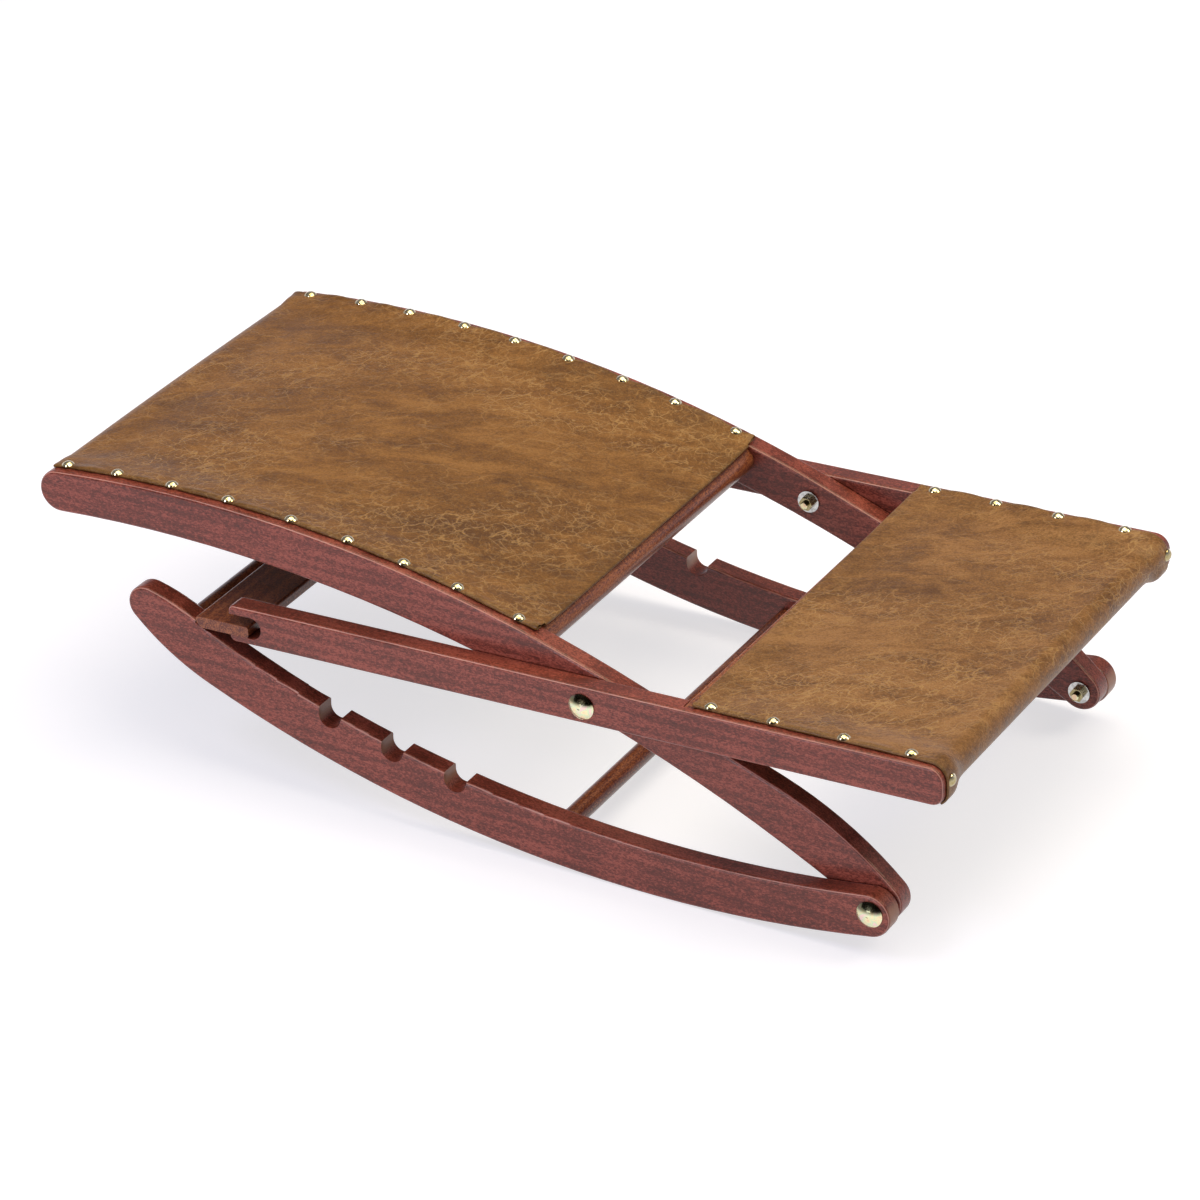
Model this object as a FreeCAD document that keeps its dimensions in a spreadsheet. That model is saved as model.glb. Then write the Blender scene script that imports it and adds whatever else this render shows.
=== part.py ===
"""Rocking footstool: two rockers, a swinging leather seat frame and a foot frame that props it up.

The seat frame turns on the rocker bolts. The foot frame turns on the cross bolts, where its rails
pass the seat rails. Its prop board rests behind the rockers' shoulders or drops into their notches.

Frame: X runs from the seat end (-X) to the foot end (+X), Y across, Z up, floor at Z = 0.
Seat and rocker profiles are drawn from the cross bolt's axis, and the foot frame's from the same
axis along its own tilted rails. All sizes are in millimetres and degrees.
"""
import FreeCAD, Part
import math
import os

import Sketcher
from FreeCAD import Placement, Rotation, Vector

# Driving dimensions: one plain number each, bound to every feature through the sheet "Sizes".
SIZES = {
    # Across the stool
    "inside_half": 166.0,
    "rail_thickness": 18.0,
    "pivot_gap": 0.4,
    "arris_radius": 2.5,
    # Pivots
    "cross_x": 92.5,
    "cross_rise": 107.0,
    "rocker_pivot_x": 234.5,
    "rocker_pivot_height": 36.5,
    # Rocker
    "rocker_radius": 976.0,
    "rocker_low_x": 55.4,
    "rocker_blend_radius": 200.0,
    "rocker_nose_radius": 15.0,
    "rocker_nose_x": -375.6,
    "rocker_nose_height": 129.3,
    "rocker_brow_radius": 160.0,
    "rocker_brow_hollow": 12.0,
    "rocker_neck_radius": 800.0,
    "rocker_top_radius": 1008.0,
    "rocker_top_x": 71.0,
    "rocker_end_radius": 17.2,
    "rocker_end_reach": 15.5,
    "notch_count": 3.0,
    "notch_radius": 9.4,
    "notch_depth": 12.3,
    "notch_last_x": -107.0,
    "notch_pitch": 53.7,
    # Rocker stretchers
    "stretcher_radius": 8.0,
    "stretcher_middle_x": -26.0,
    "stretcher_middle_height": 25.0,
    "stretcher_head_x": -349.0,
    "stretcher_head_height": 111.5,
    # Seat rail
    "seat_nose_radius": 16.8,
    "seat_nose_x": -462.3,
    "seat_nose_rise": 52.6,
    "seat_crown_radius": 1089.0,
    "seat_crown_x": -346.4,
    "seat_fall_angle": 20.3,
    "seat_haunch_radius": 290.0,
    "seat_end_radius": 16.0,
    "seat_low_radius": 1166.0,
    # Foot rail
    "foot_tilt": 2.0,
    "foot_rail_above": 15.9,
    "foot_rail_below": 14.3,
    "foot_reach": 288.4,
    "foot_top_corner": 12.0,
    "foot_low_corner": 10.0,
    "jaw_reach": 301.4,
    "jaw_top_corner": 5.0,
    "jaw_low_corner": 5.2,
    "slot_floor": 8.7,
    "slot_height": 17.8,
    "slot_reach": 273.0,
    # Prop board
    "board_width": 46.0,
    "board_thickness": 9.0,
    "board_reach": 330.4,
    "board_heel_radius": 6.8,
    "board_edge_radius": 2.0,
    "board_seat_gap": 0.05,
    # Shoulder of the rocker, behind which the board rests
    "shoulder_gap": 0.8,
    "shoulder_drop": 4.0,
    "shoulder_rise": 2.0,
    "heel_gap": 0.4,
    "heel_slope": 24.2,
    "heel_seat_run": 18.0,
    # Bars between the rails
    "bar_radius": 11.0,
    "head_bar_ahead": 0.6,
    "head_bar_rise": 2.6,
    "seat_bar_foot_x": -59.5,
    "seat_bar_foot_depth": 14.8,
    "foot_bar_x": 274.2,
    "foot_bar_rise": 0.4,
    "socket_depth": 10.0,
    "socket_fit": 0.05,
    "batten_x": 85.5,
    "batten_width": 10.0,
    "batten_depth": 20.0,
    "batten_corner": 1.5,
    "housing_depth": 12.0,
    "housing_fit": 0.1,
    # Leather
    "leather_thickness": 2.0,
    "leather_gap": 0.1,
    "seat_leather_margin": 6.8,
    "seat_leather_ahead": 2.7,
    "seat_leather_foot_x": -54.6,
    "seat_roll_run": 32.3,
    "seat_roll_gap": 0.6,
    "seat_sweep_radius": 148.0,
    "seat_roll_wrap": 205.0,
    "foot_leather_margin": 5.9,
    "foot_leather_head_x": 84.0,
    "foot_leather_drop": 8.0,
    # Upholstery nails
    "nail_head_radius": 5.0,
    "nail_head_height": 2.6,
    "nail_shank_radius": 0.8,
    "nail_length": 12.0,
    "nail_point": 2.5,
    "nail_hole_fit": 0.05,
    "seat_nail_count": 9.0,
    "seat_nail_inset": 5.3,
    "seat_nail_last_x": -67.7,
    "foot_nail_count": 4.0,
    "foot_nail_first_x": 100.0,
    "foot_nail_last_x": 258.8,
    "nail_offset": 2.0,
    "end_nail_rise": 3.9,
    # Pivot bolts
    "bolt_radius": 3.0,
    "bore_fit": 0.05,
    "bolt_head_radius": 10.3,
    "bolt_head_height": 4.8,
    "bolt_head_rim": 0.9,
    "bolt_stub": 3.0,
    "bolt_chamfer": 0.6,
    "washer_radius": 9.0,
    "washer_thickness": 1.6,
    "washer_fit": 0.2,
    "washer_gap": 0.2,
    "nut_flats": 10.0,
    "nut_height": 5.0,
}

# Places worked out from the sizes, as formulas in the sheet "Places".
PLACES = {
    # Faces of the rails, as distances from the middle of the stool
    "seat_outer": "Sizes.inside_half + Sizes.rail_thickness",
    "foot_inner": "seat_outer + Sizes.pivot_gap",
    "foot_outer": "foot_inner + Sizes.rail_thickness",
    # Pivots
    "cross_height": "Sizes.rocker_pivot_height + Sizes.cross_rise",
    "rocker_pivot_drop": "-Sizes.cross_rise",
    # Rocker: centres of the end round and of the top edge, which touch each other
    "rocker_end_x": "Sizes.rocker_pivot_x + Sizes.rocker_end_reach - Sizes.rocker_end_radius",
    "rocker_end_height": "Sizes.rocker_radius - sqrt(pow(Sizes.rocker_radius - Sizes.rocker_end_radius; 2)"
                         " - pow(rocker_end_x - Sizes.rocker_low_x; 2))",
    "rocker_top_height": "rocker_end_height + sqrt(pow(Sizes.rocker_top_radius + Sizes.rocker_end_radius; 2)"
                         " - pow(rocker_end_x - Sizes.rocker_top_x; 2))",
    # Seat rail: centre of the crown arc
    "seat_crown_z": "Sizes.seat_nose_rise - sqrt(pow(Sizes.seat_crown_radius - Sizes.seat_nose_radius; 2)"
                    " - pow(Sizes.seat_crown_x - Sizes.seat_nose_x; 2))",
    "seat_bar_head_x": "Sizes.seat_nose_x - Sizes.head_bar_ahead",
    "seat_bar_head_rise": "Sizes.seat_nose_rise + Sizes.head_bar_rise",
    "seat_bar_foot_rise": "seat_crown_z + sqrt(pow(Sizes.seat_crown_radius; 2)"
                          " - pow(Sizes.seat_bar_foot_x - Sizes.seat_crown_x; 2)) - Sizes.seat_bar_foot_depth",
    # Foot rail, slot and prop board
    "foot_rail_bottom": "-Sizes.foot_rail_below",
    "jaw_end": "-Sizes.jaw_reach",
    "slot_bottom": "-Sizes.slot_floor",
    "slot_top": "slot_bottom + Sizes.slot_height",
    "slot_round": "Sizes.slot_height / 2",
    "slot_centre_x": "-Sizes.slot_reach - slot_round",
    "slot_mouth": "jaw_end - Sizes.rail_thickness",
    "board_head": "-Sizes.board_reach",
    "board_foot": "board_head + Sizes.board_width",
    "board_bottom": "slot_bottom + Sizes.board_seat_gap",
    "board_top": "board_bottom + Sizes.board_thickness",
    # Shoulder and sloping seat in the rocker, from the board's head edge and heel
    "foot_tilt_cos": "cos(Sizes.foot_tilt)",
    "foot_tilt_sin": "sin(Sizes.foot_tilt)",
    "shoulder_x": "board_head * foot_tilt_cos - Sizes.shoulder_gap",
    "shoulder_height": "cross_height + board_head * foot_tilt_sin + board_top * foot_tilt_cos"
                       " - Sizes.shoulder_drop",
    "neck_edge": "shoulder_height - Sizes.shoulder_rise",
    "heel_along": "board_head + Sizes.board_heel_radius",
    "heel_up": "board_bottom + Sizes.board_heel_radius",
    "heel_x": "heel_along * foot_tilt_cos - heel_up * foot_tilt_sin",
    "heel_height": "cross_height + heel_along * foot_tilt_sin + heel_up * foot_tilt_cos",
    "heel_fall": "tan(Sizes.heel_slope)",
    "heel_seat_height": "heel_height - (Sizes.board_heel_radius + Sizes.heel_gap) / cos(Sizes.heel_slope)"
                        " + (heel_x - shoulder_x) * heel_fall",
    "heel_seat_end": "shoulder_x + Sizes.heel_seat_run",
    "heel_seat_low": "heel_seat_height - Sizes.heel_seat_run * heel_fall",
    "heel_seat_lid": "heel_seat_height + Sizes.board_width",
    # Bars, batten and their seats in the rails
    "bar_socket_radius": "Sizes.bar_radius + Sizes.socket_fit",
    "stretcher_socket_radius": "Sizes.stretcher_radius + Sizes.socket_fit",
    "seat_bar_half": "Sizes.inside_half + Sizes.socket_depth - Sizes.socket_fit",
    "foot_bar_half": "foot_inner + Sizes.socket_depth - Sizes.socket_fit",
    "batten_half": "foot_inner + Sizes.housing_depth - Sizes.housing_fit",
    "batten_head": "Sizes.batten_x - Sizes.batten_width / 2",
    "batten_foot": "Sizes.batten_x + Sizes.batten_width / 2",
    "batten_bottom": "Sizes.foot_rail_above - Sizes.batten_depth",
    "housing_head": "batten_head - Sizes.housing_fit",
    "housing_foot": "batten_foot + Sizes.housing_fit",
    "housing_bottom": "batten_bottom - Sizes.housing_fit",
    "housing_top": "Sizes.foot_rail_above + Sizes.batten_width",
    # Leather
    "seat_leather_half": "seat_outer - Sizes.seat_leather_margin",
    "foot_leather_half": "foot_outer - Sizes.foot_leather_margin",
    "seat_leather_under": "Sizes.seat_crown_radius + Sizes.leather_gap",
    "seat_leather_over": "seat_leather_under + Sizes.leather_thickness",
    "seat_leather_head_x": "Sizes.seat_nose_x - Sizes.seat_leather_ahead",
    "seat_roll_x": "Sizes.seat_nose_x + Sizes.seat_roll_run",
    "seat_roll_half": "Sizes.inside_half - Sizes.seat_roll_gap",
    "seat_roll_under": "Sizes.bar_radius + Sizes.leather_gap",
    "seat_roll_over": "seat_roll_under + Sizes.leather_thickness",
    "seat_sweep_over": "Sizes.seat_sweep_radius + Sizes.leather_thickness",
    "seat_strip_start": "Sizes.inside_half + Sizes.seat_roll_gap",
    "seat_strip_width": "seat_leather_half - seat_strip_start",
    "foot_leather_under": "Sizes.foot_rail_above + Sizes.leather_gap",
    "foot_leather_over": "foot_leather_under + Sizes.leather_thickness",
    "foot_leather_back": "Sizes.foot_reach + Sizes.leather_gap",
    "foot_leather_front": "foot_leather_back + Sizes.leather_thickness",
    "foot_leather_bend": "Sizes.foot_top_corner + Sizes.leather_gap",
    "foot_leather_bow": "foot_leather_bend + Sizes.leather_thickness",
    "foot_leather_low": "-Sizes.foot_leather_drop",
    # Pivot bolts, from the outer face inwards
    "bore_radius": "Sizes.bolt_radius + Sizes.bore_fit",
    "bolt_crown_y": "-(foot_outer + Sizes.bolt_head_height)",
    "bolt_rim_y": "-(foot_outer + Sizes.bolt_head_rim)",
    "bolt_face_y": "-foot_outer",
    "washer_seat": "Sizes.inside_half - Sizes.washer_gap",
    "nut_seat": "washer_seat - Sizes.washer_thickness",
    "bolt_end_y": "-(nut_seat - Sizes.nut_height - Sizes.bolt_stub)",
    "bolt_chamfer_y": "bolt_end_y - Sizes.bolt_chamfer",
    "bolt_tip_radius": "Sizes.bolt_radius - Sizes.bolt_chamfer",
    "washer_bore_radius": "Sizes.bolt_radius + Sizes.washer_fit",
    "nut_corner_radius": "Sizes.nut_flats / sqrt(3)",
    # Upholstery nails
    "seat_nail_y": "(Sizes.inside_half + seat_outer) / 2 - Sizes.nail_offset",
    "seat_nail_first_x": "Sizes.seat_nose_x + Sizes.seat_nail_inset",
    "foot_nail_y": "(foot_inner + foot_outer) / 2 - Sizes.nail_offset",
    "nail_tip": "-Sizes.nail_length",
    "nail_taper": "Sizes.nail_point - Sizes.nail_length",
}

# The nails are set by hand, so each stands a little off the even spacing (mm along the rail).
SEAT_NAIL_DRIFT_FRONT = (-2.5, -6.6, -6.4, -5.5, 0.7, 1.0, 0.3, -2.9, 0.0)
SEAT_NAIL_DRIFT_REAR = (1.8, 0.7, -2.6, -0.7, -3.1, -3.3, -3.6, -5.1, -0.1)
FOOT_NAIL_DRIFT_FRONT = (0.0, -2.9, 0.1, 0.0)
FOOT_NAIL_DRIFT_REAR = (-4.0, -5.2, -6.1, -3.7)

FRONT = -1
REAR = 1
SIDES = {FRONT: "front", REAR: "rear"}

doc = FreeCAD.newDocument("RockingFootstool")


# ---------------------------------------------------------------- sheets and values

def make_sheet(name, entries, prefix):
    """Write one row per entry: its name, and its value or formula under the same alias."""
    sheet = doc.addObject("Spreadsheet::Sheet", name)
    for row, (alias, content) in enumerate(entries.items(), start=1):
        sheet.set("A%d" % row, alias)
        sheet.set("B%d" % row, prefix + str(content))
        sheet.setAlias("B%d" % row, alias)
    doc.recompute()
    return sheet


sizes = make_sheet("Sizes", SIZES, "")
places = make_sheet("Places", PLACES, "=")


def size(name):
    """The present value of a size or place."""
    sheet = sizes if name in SIZES else places
    return float(sheet.get(name))


def ref(name):
    """The expression that binds a property to a size or place."""
    return ("Sizes." if name in SIZES else "Places.") + name


# ---------------------------------------------------------------- sketches

class Outline:
    """Closed chains of arcs and lines in one sketch, drawn counter-clockwise.

    Each piece is drawn roughly in place. Its joints and bound sizes then fix it exactly.
    """

    def __init__(self, sketch):
        self.sketch = sketch
        self.pieces = []
        self.constraints = []
        self.expressions = []

    def line(self, start, end, smooth=True):
        """Add a line. With smooth, it meets the next piece without a corner."""
        index = self.sketch.addGeometry(Part.LineSegment(Vector(*start), Vector(*end)), False)
        self.pieces.append((index, 1, 2, smooth))
        return index

    def arc(self, start, end, radius, hollow=False, smooth=True):
        """Add an arc of the named radius. A hollow arc curves into the outline."""
        first, last = Vector(*start), Vector(*end)
        chord = last - first
        reach = max(size(radius), chord.Length / 2)
        offset = math.sqrt(reach ** 2 - (chord.Length / 2) ** 2)
        left = Vector(-chord.y, chord.x) / chord.Length
        centre = (first + last) / 2 + left * (-offset if hollow else offset)
        ends = (last, first) if hollow else (first, last)
        index = self.arc_about(centre, reach, *ends, hollow=hollow, smooth=smooth)
        self.bind("Radius", (index,), radius)
        return index

    def arc_about(self, centre, reach, first, last, hollow=False, smooth=True):
        """Add an arc about a centre, counter-clockwise from the first point to the last."""
        start, end = (math.atan2(point.y - centre.y, point.x - centre.x) for point in (first, last))
        circle = Part.Circle(centre, Vector(0, 0, 1), reach)
        arc = Part.ArcOfCircle(circle, start, end if end > start else end + 2 * math.pi)
        index = self.sketch.addGeometry(arc, False)
        self.pieces.append((index, 2, 1, smooth) if hollow else (index, 1, 2, smooth))
        return index

    def circle(self, radius, x=None, z=None, position=(0.0, 0.0)):
        """Add a circle of a named radius, at named coordinates or at the sketch's origin."""
        index = self.sketch.addGeometry(Part.Circle(Vector(*position), Vector(0, 0, 1), size(radius)), False)
        self.bind("Radius", (index,), radius)
        if x is None:
            self.add("Coincident", index, 3, -1, 1)
        else:
            self.place(index, 3, x, z)

    def close(self):
        """Join each piece to the next, and the last to the first."""
        following = self.pieces[1:] + self.pieces[:1]
        for (piece, _, end, smooth), (other, start, _, _) in zip(self.pieces, following):
            self.add("Tangent" if smooth else "Coincident", piece, end, other, start)
        self.pieces = []

    def add(self, kind, *where, value=None, expression=None):
        """Note a constraint. One with a value can follow an expression."""
        numbers = where if value is None else (*where, value)
        self.constraints.append(Sketcher.Constraint(kind, *numbers))
        self.expressions.append(expression)

    def bind(self, kind, where, name):
        """Fix a distance or radius to a named value."""
        self.add(kind, *where, value=size(name), expression=ref(name))

    def place(self, piece, point, x=None, z=None):
        """Fix one point of a piece (1 start, 2 end, 3 centre) in the sketch's own X and Y."""
        if x is not None:
            self.bind("DistanceX", (-1, 1, piece, point), x)
        if z is not None:
            self.bind("DistanceY", (-1, 1, piece, point), z)

    def level(self, *lines):
        for line in lines:
            self.add("Horizontal", line)

    def upright(self, *lines):
        for line in lines:
            self.add("Vertical", line)

    def solve(self):
        """Give the sketch all its constraints at once, then bind them to the sheets."""
        numbers = self.sketch.addConstraint(self.constraints)
        for number, expression in zip(numbers, self.expressions):
            if expression:
                self.sketch.setExpression("Constraints[%d]" % number, expression)


def new_body(name):
    return doc.addObject("PartDesign::Body", name)


def new_sketch(body, name, plane="XZ_Plane", offset=None, sign=1):
    """Sketch on one of the body's origin planes, moved along its normal by a named distance."""
    sketch = body.newObject("Sketcher::SketchObject", name)
    origin_plane = next(item for item in body.Origin.OriginFeatures if item.Role == plane)
    sketch.AttachmentSupport = [(origin_plane, "")]
    sketch.MapMode = "FlatFace"
    if offset:
        sketch.setExpression("AttachmentOffset.Base.z", "%d * %s" % (sign, ref(offset)))
    doc.recompute()
    return sketch


def rounded_bar(outline, head, foot, bottom, top, radii):
    """Rectangle with four rounded corners: radii run foot low, foot top, head top, head low."""
    left, right, low, high = (size(name) for name in (head, foot, bottom, top))
    foot_low, foot_top, head_top, head_low = (size(name) for name in radii)
    lower = outline.line((left + head_low, low), (right - foot_low, low))
    outline.arc((right - foot_low, low), (right, low + foot_low), radii[0])
    nearer = outline.line((right, low + foot_low), (right, high - foot_top))
    outline.arc((right, high - foot_top), (right - foot_top, high), radii[1])
    upper = outline.line((right - foot_top, high), (left + head_top, high))
    outline.arc((left + head_top, high), (left, high - head_top), radii[2])
    further = outline.line((left, high - head_top), (left, low + head_low))
    outline.arc((left, low + head_low), (left + head_low, low), radii[3])
    outline.close()
    outline.level(lower, upper)
    outline.upright(nearer, further)
    outline.place(lower, 1, z=bottom)
    outline.place(upper, 1, z=top)
    outline.place(nearer, 1, x=foot)
    outline.place(further, 1, x=head)
    outline.solve()


# ---------------------------------------------------------------- features

def pad(body, sketch, length, reverse=False, both_ways=False):
    """Pad a sketch by a named length, or by twice that length about its plane."""
    feature = body.newObject("PartDesign::Pad", "Pad")
    feature.Profile = sketch
    if both_ways:
        feature.Midplane = True
        feature.setExpression("Length", "2 * " + ref(length))
    else:
        feature.setExpression("Length", ref(length))
    feature.Reversed = reverse
    sketch.Visibility = False
    doc.recompute()
    return feature


def pocket(body, sketch, side, depth=None):
    """Cut a sketch outwards from its plane, to a named depth or right through."""
    before = body.Shape.Volume
    feature = body.newObject("PartDesign::Pocket", "Pocket")
    feature.Profile = sketch
    feature.Reversed = side == FRONT
    if depth:
        feature.setExpression("Length", ref(depth))
    else:
        feature.Type = "ThroughAll"
    doc.recompute()
    if not body.Shape.Volume < before:
        raise RuntimeError("%s: the pocket cuts nothing" % body.Name)
    return feature


def round_arrises(body, feature):
    """Round both rims of a rail. Edges too short for the radius stay sharp."""
    shortest = 2 * size("arris_radius")
    rims = [
        "Edge%d" % number
        for number, edge in enumerate(feature.Shape.Edges, start=1)
        if edge.BoundBox.YLength < 0.001 and edge.Length > shortest
    ]
    fillet = body.newObject("PartDesign::Fillet", "Arrises")
    fillet.Base = (feature, rims)
    fillet.setExpression("Radius", ref("arris_radius"))
    doc.recompute()
    return fillet


def bore(body, name, side, inner, radius, x=None, z=None, position=(0.0, 0.0), depth=None):
    """A round hole from a rail's inner face outwards, blind or right through."""
    sketch = new_sketch(body, name, offset=inner, sign=-side)
    outline = Outline(sketch)
    outline.circle(radius, x, z, position)
    outline.solve()
    pocket(body, sketch, side, depth)


def stand_at_cross(item, height="cross_height"):
    """Put a body's own origin at the cross bolt's axis, or below it on the floor."""
    item.setExpression("Placement.Base.x", ref("cross_x"))
    if height:
        item.setExpression("Placement.Base.z", ref(height))


def tilt_with_foot(item):
    """Put a body on the foot frame's own tilted axes."""
    item.Placement = Placement(Vector(), Rotation(Vector(0, -1, 0), size("foot_tilt")))
    item.setExpression("Placement.Rotation.Angle", ref("foot_tilt"))
    stand_at_cross(item)


def finish(item, label):
    item.Label = label
    return item


# ---------------------------------------------------------------- rocker base

def rocker(side):
    """Curved rocker with a rounded nose, a shoulder for the prop board and three notches.

    The outline is smooth all round, so that its arrises can be rounded. Then it is cut.
    """
    body = new_body("Rocker" + SIDES[side].capitalize())
    sketch = new_sketch(body, "RockerOutline" + SIDES[side].capitalize(), offset="foot_inner", sign=-side)
    outline = Outline(sketch)

    nose_x, nose_z, nose_r = size("rocker_nose_x"), size("rocker_nose_height"), size("rocker_nose_radius")
    shoulder_x, shoulder_z = size("shoulder_x"), size("shoulder_height")
    end_x, end_z, end_r = size("rocker_end_x"), size("rocker_end_height"), size("rocker_end_radius")
    low_x, top_x = size("rocker_low_x"), size("rocker_top_x")
    top_z, top_r = size("rocker_top_height"), size("rocker_top_radius")
    neck_x = size("notch_last_x") - size("notch_pitch")
    neck_z = top_z - math.sqrt(top_r ** 2 - (neck_x - top_x) ** 2)
    blend_x = nose_x + 2 * nose_r
    blend_z = size("rocker_radius") - math.sqrt(size("rocker_radius") ** 2 - (blend_x - low_x) ** 2)
    cheek = (nose_x - 0.7 * nose_r, nose_z - 0.7 * nose_r)
    brow = (nose_x + 0.2 * nose_r, nose_z + nose_r)

    nose = outline.arc(brow, cheek, "rocker_nose_radius")
    outline.arc(cheek, (blend_x, blend_z), "rocker_blend_radius")
    tread = outline.arc((blend_x, blend_z), (end_x, end_z - end_r), "rocker_radius")
    end = outline.arc((end_x, end_z - end_r), (end_x, end_z + end_r), "rocker_end_radius")
    top = outline.arc((end_x, end_z + end_r), (neck_x, neck_z), "rocker_top_radius", hollow=True)
    hollow_low = (shoulder_x + 2 * size("rocker_brow_hollow"), shoulder_z - size("rocker_brow_hollow"))
    hollow_high = (shoulder_x + size("rocker_brow_hollow") / 2, shoulder_z - size("rocker_brow_hollow") / 4)
    neck = outline.arc((neck_x, neck_z), hollow_low, "rocker_neck_radius", hollow=True)
    outline.arc(hollow_low, hollow_high, "rocker_brow_hollow", hollow=True)
    brow_arc = outline.arc(hollow_high, brow, "rocker_brow_radius")
    outline.close()
    outline.place(nose, 3, "rocker_nose_x", "rocker_nose_height")
    outline.place(tread, 3, "rocker_low_x", "rocker_radius")
    outline.place(end, 3, "rocker_end_x")
    outline.place(top, 3, "rocker_top_x")
    for curve, height in ((brow_arc, "shoulder_height"), (neck, "neck_edge")):
        edge = sketch.addGeometry(Part.Point(Vector(shoulder_x, size(height))), True)
        outline.place(edge, 1, "shoulder_x", height)
        outline.add("PointOnObject", edge, 1, curve)
    outline.solve()

    rim = pad(body, sketch, "rail_thickness", reverse=side == REAR)
    round_arrises(body, rim)
    cut_shoulder(body, side)
    cut_notches(body, side)
    bore(body, "PivotBore", side, "foot_inner", "bore_radius", "rocker_pivot_x", "rocker_pivot_height",
         (size("rocker_pivot_x"), size("rocker_pivot_height")))
    for name in ("middle", "head"):
        x, z = "stretcher_%s_x" % name, "stretcher_%s_height" % name
        bore(body, "Socket" + name.capitalize(), side, "foot_inner", "stretcher_socket_radius", x, z,
             (size(x), size(z)), "socket_depth")
    stand_at_cross(body, height=None)
    return finish(body, "rocker_" + SIDES[side])


def cut_shoulder(body, side):
    """Upright shoulder and sloping seat, where the prop board's heel rests."""
    sketch = new_sketch(body, "Shoulder", offset="foot_inner", sign=-side)
    outline = Outline(sketch)
    left, right = size("shoulder_x"), size("heel_seat_end")
    high, low, lid = size("heel_seat_height"), size("heel_seat_low"), size("heel_seat_lid")
    floor = outline.line((left, high), (right, low), smooth=False)
    back = outline.line((right, low), (right, lid), smooth=False)
    outline.line((right, lid), (left, lid), smooth=False)
    face = outline.line((left, lid), (left, high), smooth=False)
    outline.close()
    outline.upright(back, face)
    outline.place(floor, 1, "shoulder_x", "heel_seat_height")
    outline.place(back, 1, "heel_seat_end", "heel_seat_low")
    outline.place(back, 2, z="heel_seat_lid")
    outline.place(face, 1, z="heel_seat_lid")
    outline.solve()
    pocket(body, sketch, side)


def cut_notches(body, side):
    """U-shaped notches of one depth below the curved top edge, open at the top."""
    sketch = new_sketch(body, "Notches", offset="foot_inner", sign=-side)
    outline = Outline(sketch)
    radius = size("notch_radius")
    for number in range(int(size("notch_count"))):
        x = size("notch_last_x") - number * size("notch_pitch")
        run = math.sqrt(size("rocker_top_radius") ** 2 - (x - size("rocker_top_x")) ** 2)
        z = size("rocker_top_height") - run - size("notch_depth") + radius
        above = z + 3 * radius
        bowl = outline.arc((x - radius, z), (x + radius, z), "notch_radius")
        side_line = outline.line((x + radius, z), (x + radius, above), smooth=False)
        lid = outline.line((x + radius, above), (x - radius, above), smooth=False)
        other_line = outline.line((x - radius, above), (x - radius, z))
        outline.close()
        outline.level(lid)
        outline.upright(side_line, other_line)
        middle = "%s - %d * %s" % (ref("notch_last_x"), number, ref("notch_pitch"))
        depth = "%s - sqrt(pow(%s; 2) - pow(%s - %s; 2)) - %s + %s" % (
            ref("rocker_top_height"), ref("rocker_top_radius"), middle, ref("rocker_top_x"),
            ref("notch_depth"), ref("notch_radius"))
        outline.add("DistanceX", -1, 1, bowl, 3, value=x, expression=middle)
        outline.add("DistanceY", -1, 1, bowl, 3, value=z, expression=depth)
        outline.add("DistanceY", bowl, 3, lid, 1, value=3 * radius, expression="3 * " + ref("notch_radius"))
    outline.solve()
    pocket(body, sketch, side)


# ---------------------------------------------------------------- seat frame

def seat_rail(side):
    """Long rail: a crowned top that falls in a straight run to the end round at the rocker pivot."""
    body = new_body("SeatRail" + SIDES[side].capitalize())
    sketch = new_sketch(body, "SeatOutline" + SIDES[side].capitalize(), offset="inside_half", sign=-side)
    outline = Outline(sketch)

    nose_x, nose_z, nose_r = size("seat_nose_x"), size("seat_nose_rise"), size("seat_nose_radius")
    end_x, end_z, end_r = size("rocker_pivot_x"), size("rocker_pivot_drop"), size("seat_end_radius")
    crown_x, crown_z, crown_r = size("seat_crown_x"), size("seat_crown_z"), size("seat_crown_radius")
    fall = math.radians(size("seat_fall_angle"))
    brink = (crown_x + crown_r * math.sin(fall), crown_z + crown_r * math.cos(fall))
    run = (end_x - brink[0]) / 2
    haunch = (brink[0] + run, brink[1] - run * math.tan(fall))
    heel = (end_x + 0.7 * end_r, end_z + 0.7 * end_r)

    nose = outline.arc((nose_x, nose_z + nose_r), (nose_x, nose_z - nose_r), "seat_nose_radius")
    outline.arc((nose_x, nose_z - nose_r), (end_x - end_r / 2, end_z - end_r), "seat_low_radius", hollow=True)
    end = outline.arc((end_x - end_r / 2, end_z - end_r), heel, "seat_end_radius")
    outline.arc(heel, haunch, "seat_haunch_radius")
    fall_line = outline.line(haunch, brink)
    crown = outline.arc(brink, (nose_x, nose_z + nose_r), "seat_crown_radius")
    outline.close()
    outline.place(nose, 3, "seat_nose_x", "seat_nose_rise")
    outline.place(end, 3, "rocker_pivot_x", "rocker_pivot_drop")
    outline.place(crown, 3, "seat_crown_x")
    outline.add("Angle", fall_line, value=math.pi - fall,
                expression="180 deg - %s * 1 deg" % ref("seat_fall_angle"))
    outline.solve()

    rim = pad(body, sketch, "rail_thickness", reverse=side == REAR)
    round_arrises(body, rim)
    bore(body, "CrossBore", side, "inside_half", "bore_radius")
    bore(body, "PivotBore", side, "inside_half", "bore_radius", "rocker_pivot_x", "rocker_pivot_drop",
         (end_x, end_z))
    for name in ("head", "foot"):
        x, z = "seat_bar_%s_x" % name, "seat_bar_%s_rise" % name
        bore(body, "Socket" + name.capitalize(), side, "inside_half", "bar_socket_radius", x, z,
             (size(x), size(z)), "socket_depth")
    stand_at_cross(body)
    return body


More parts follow.
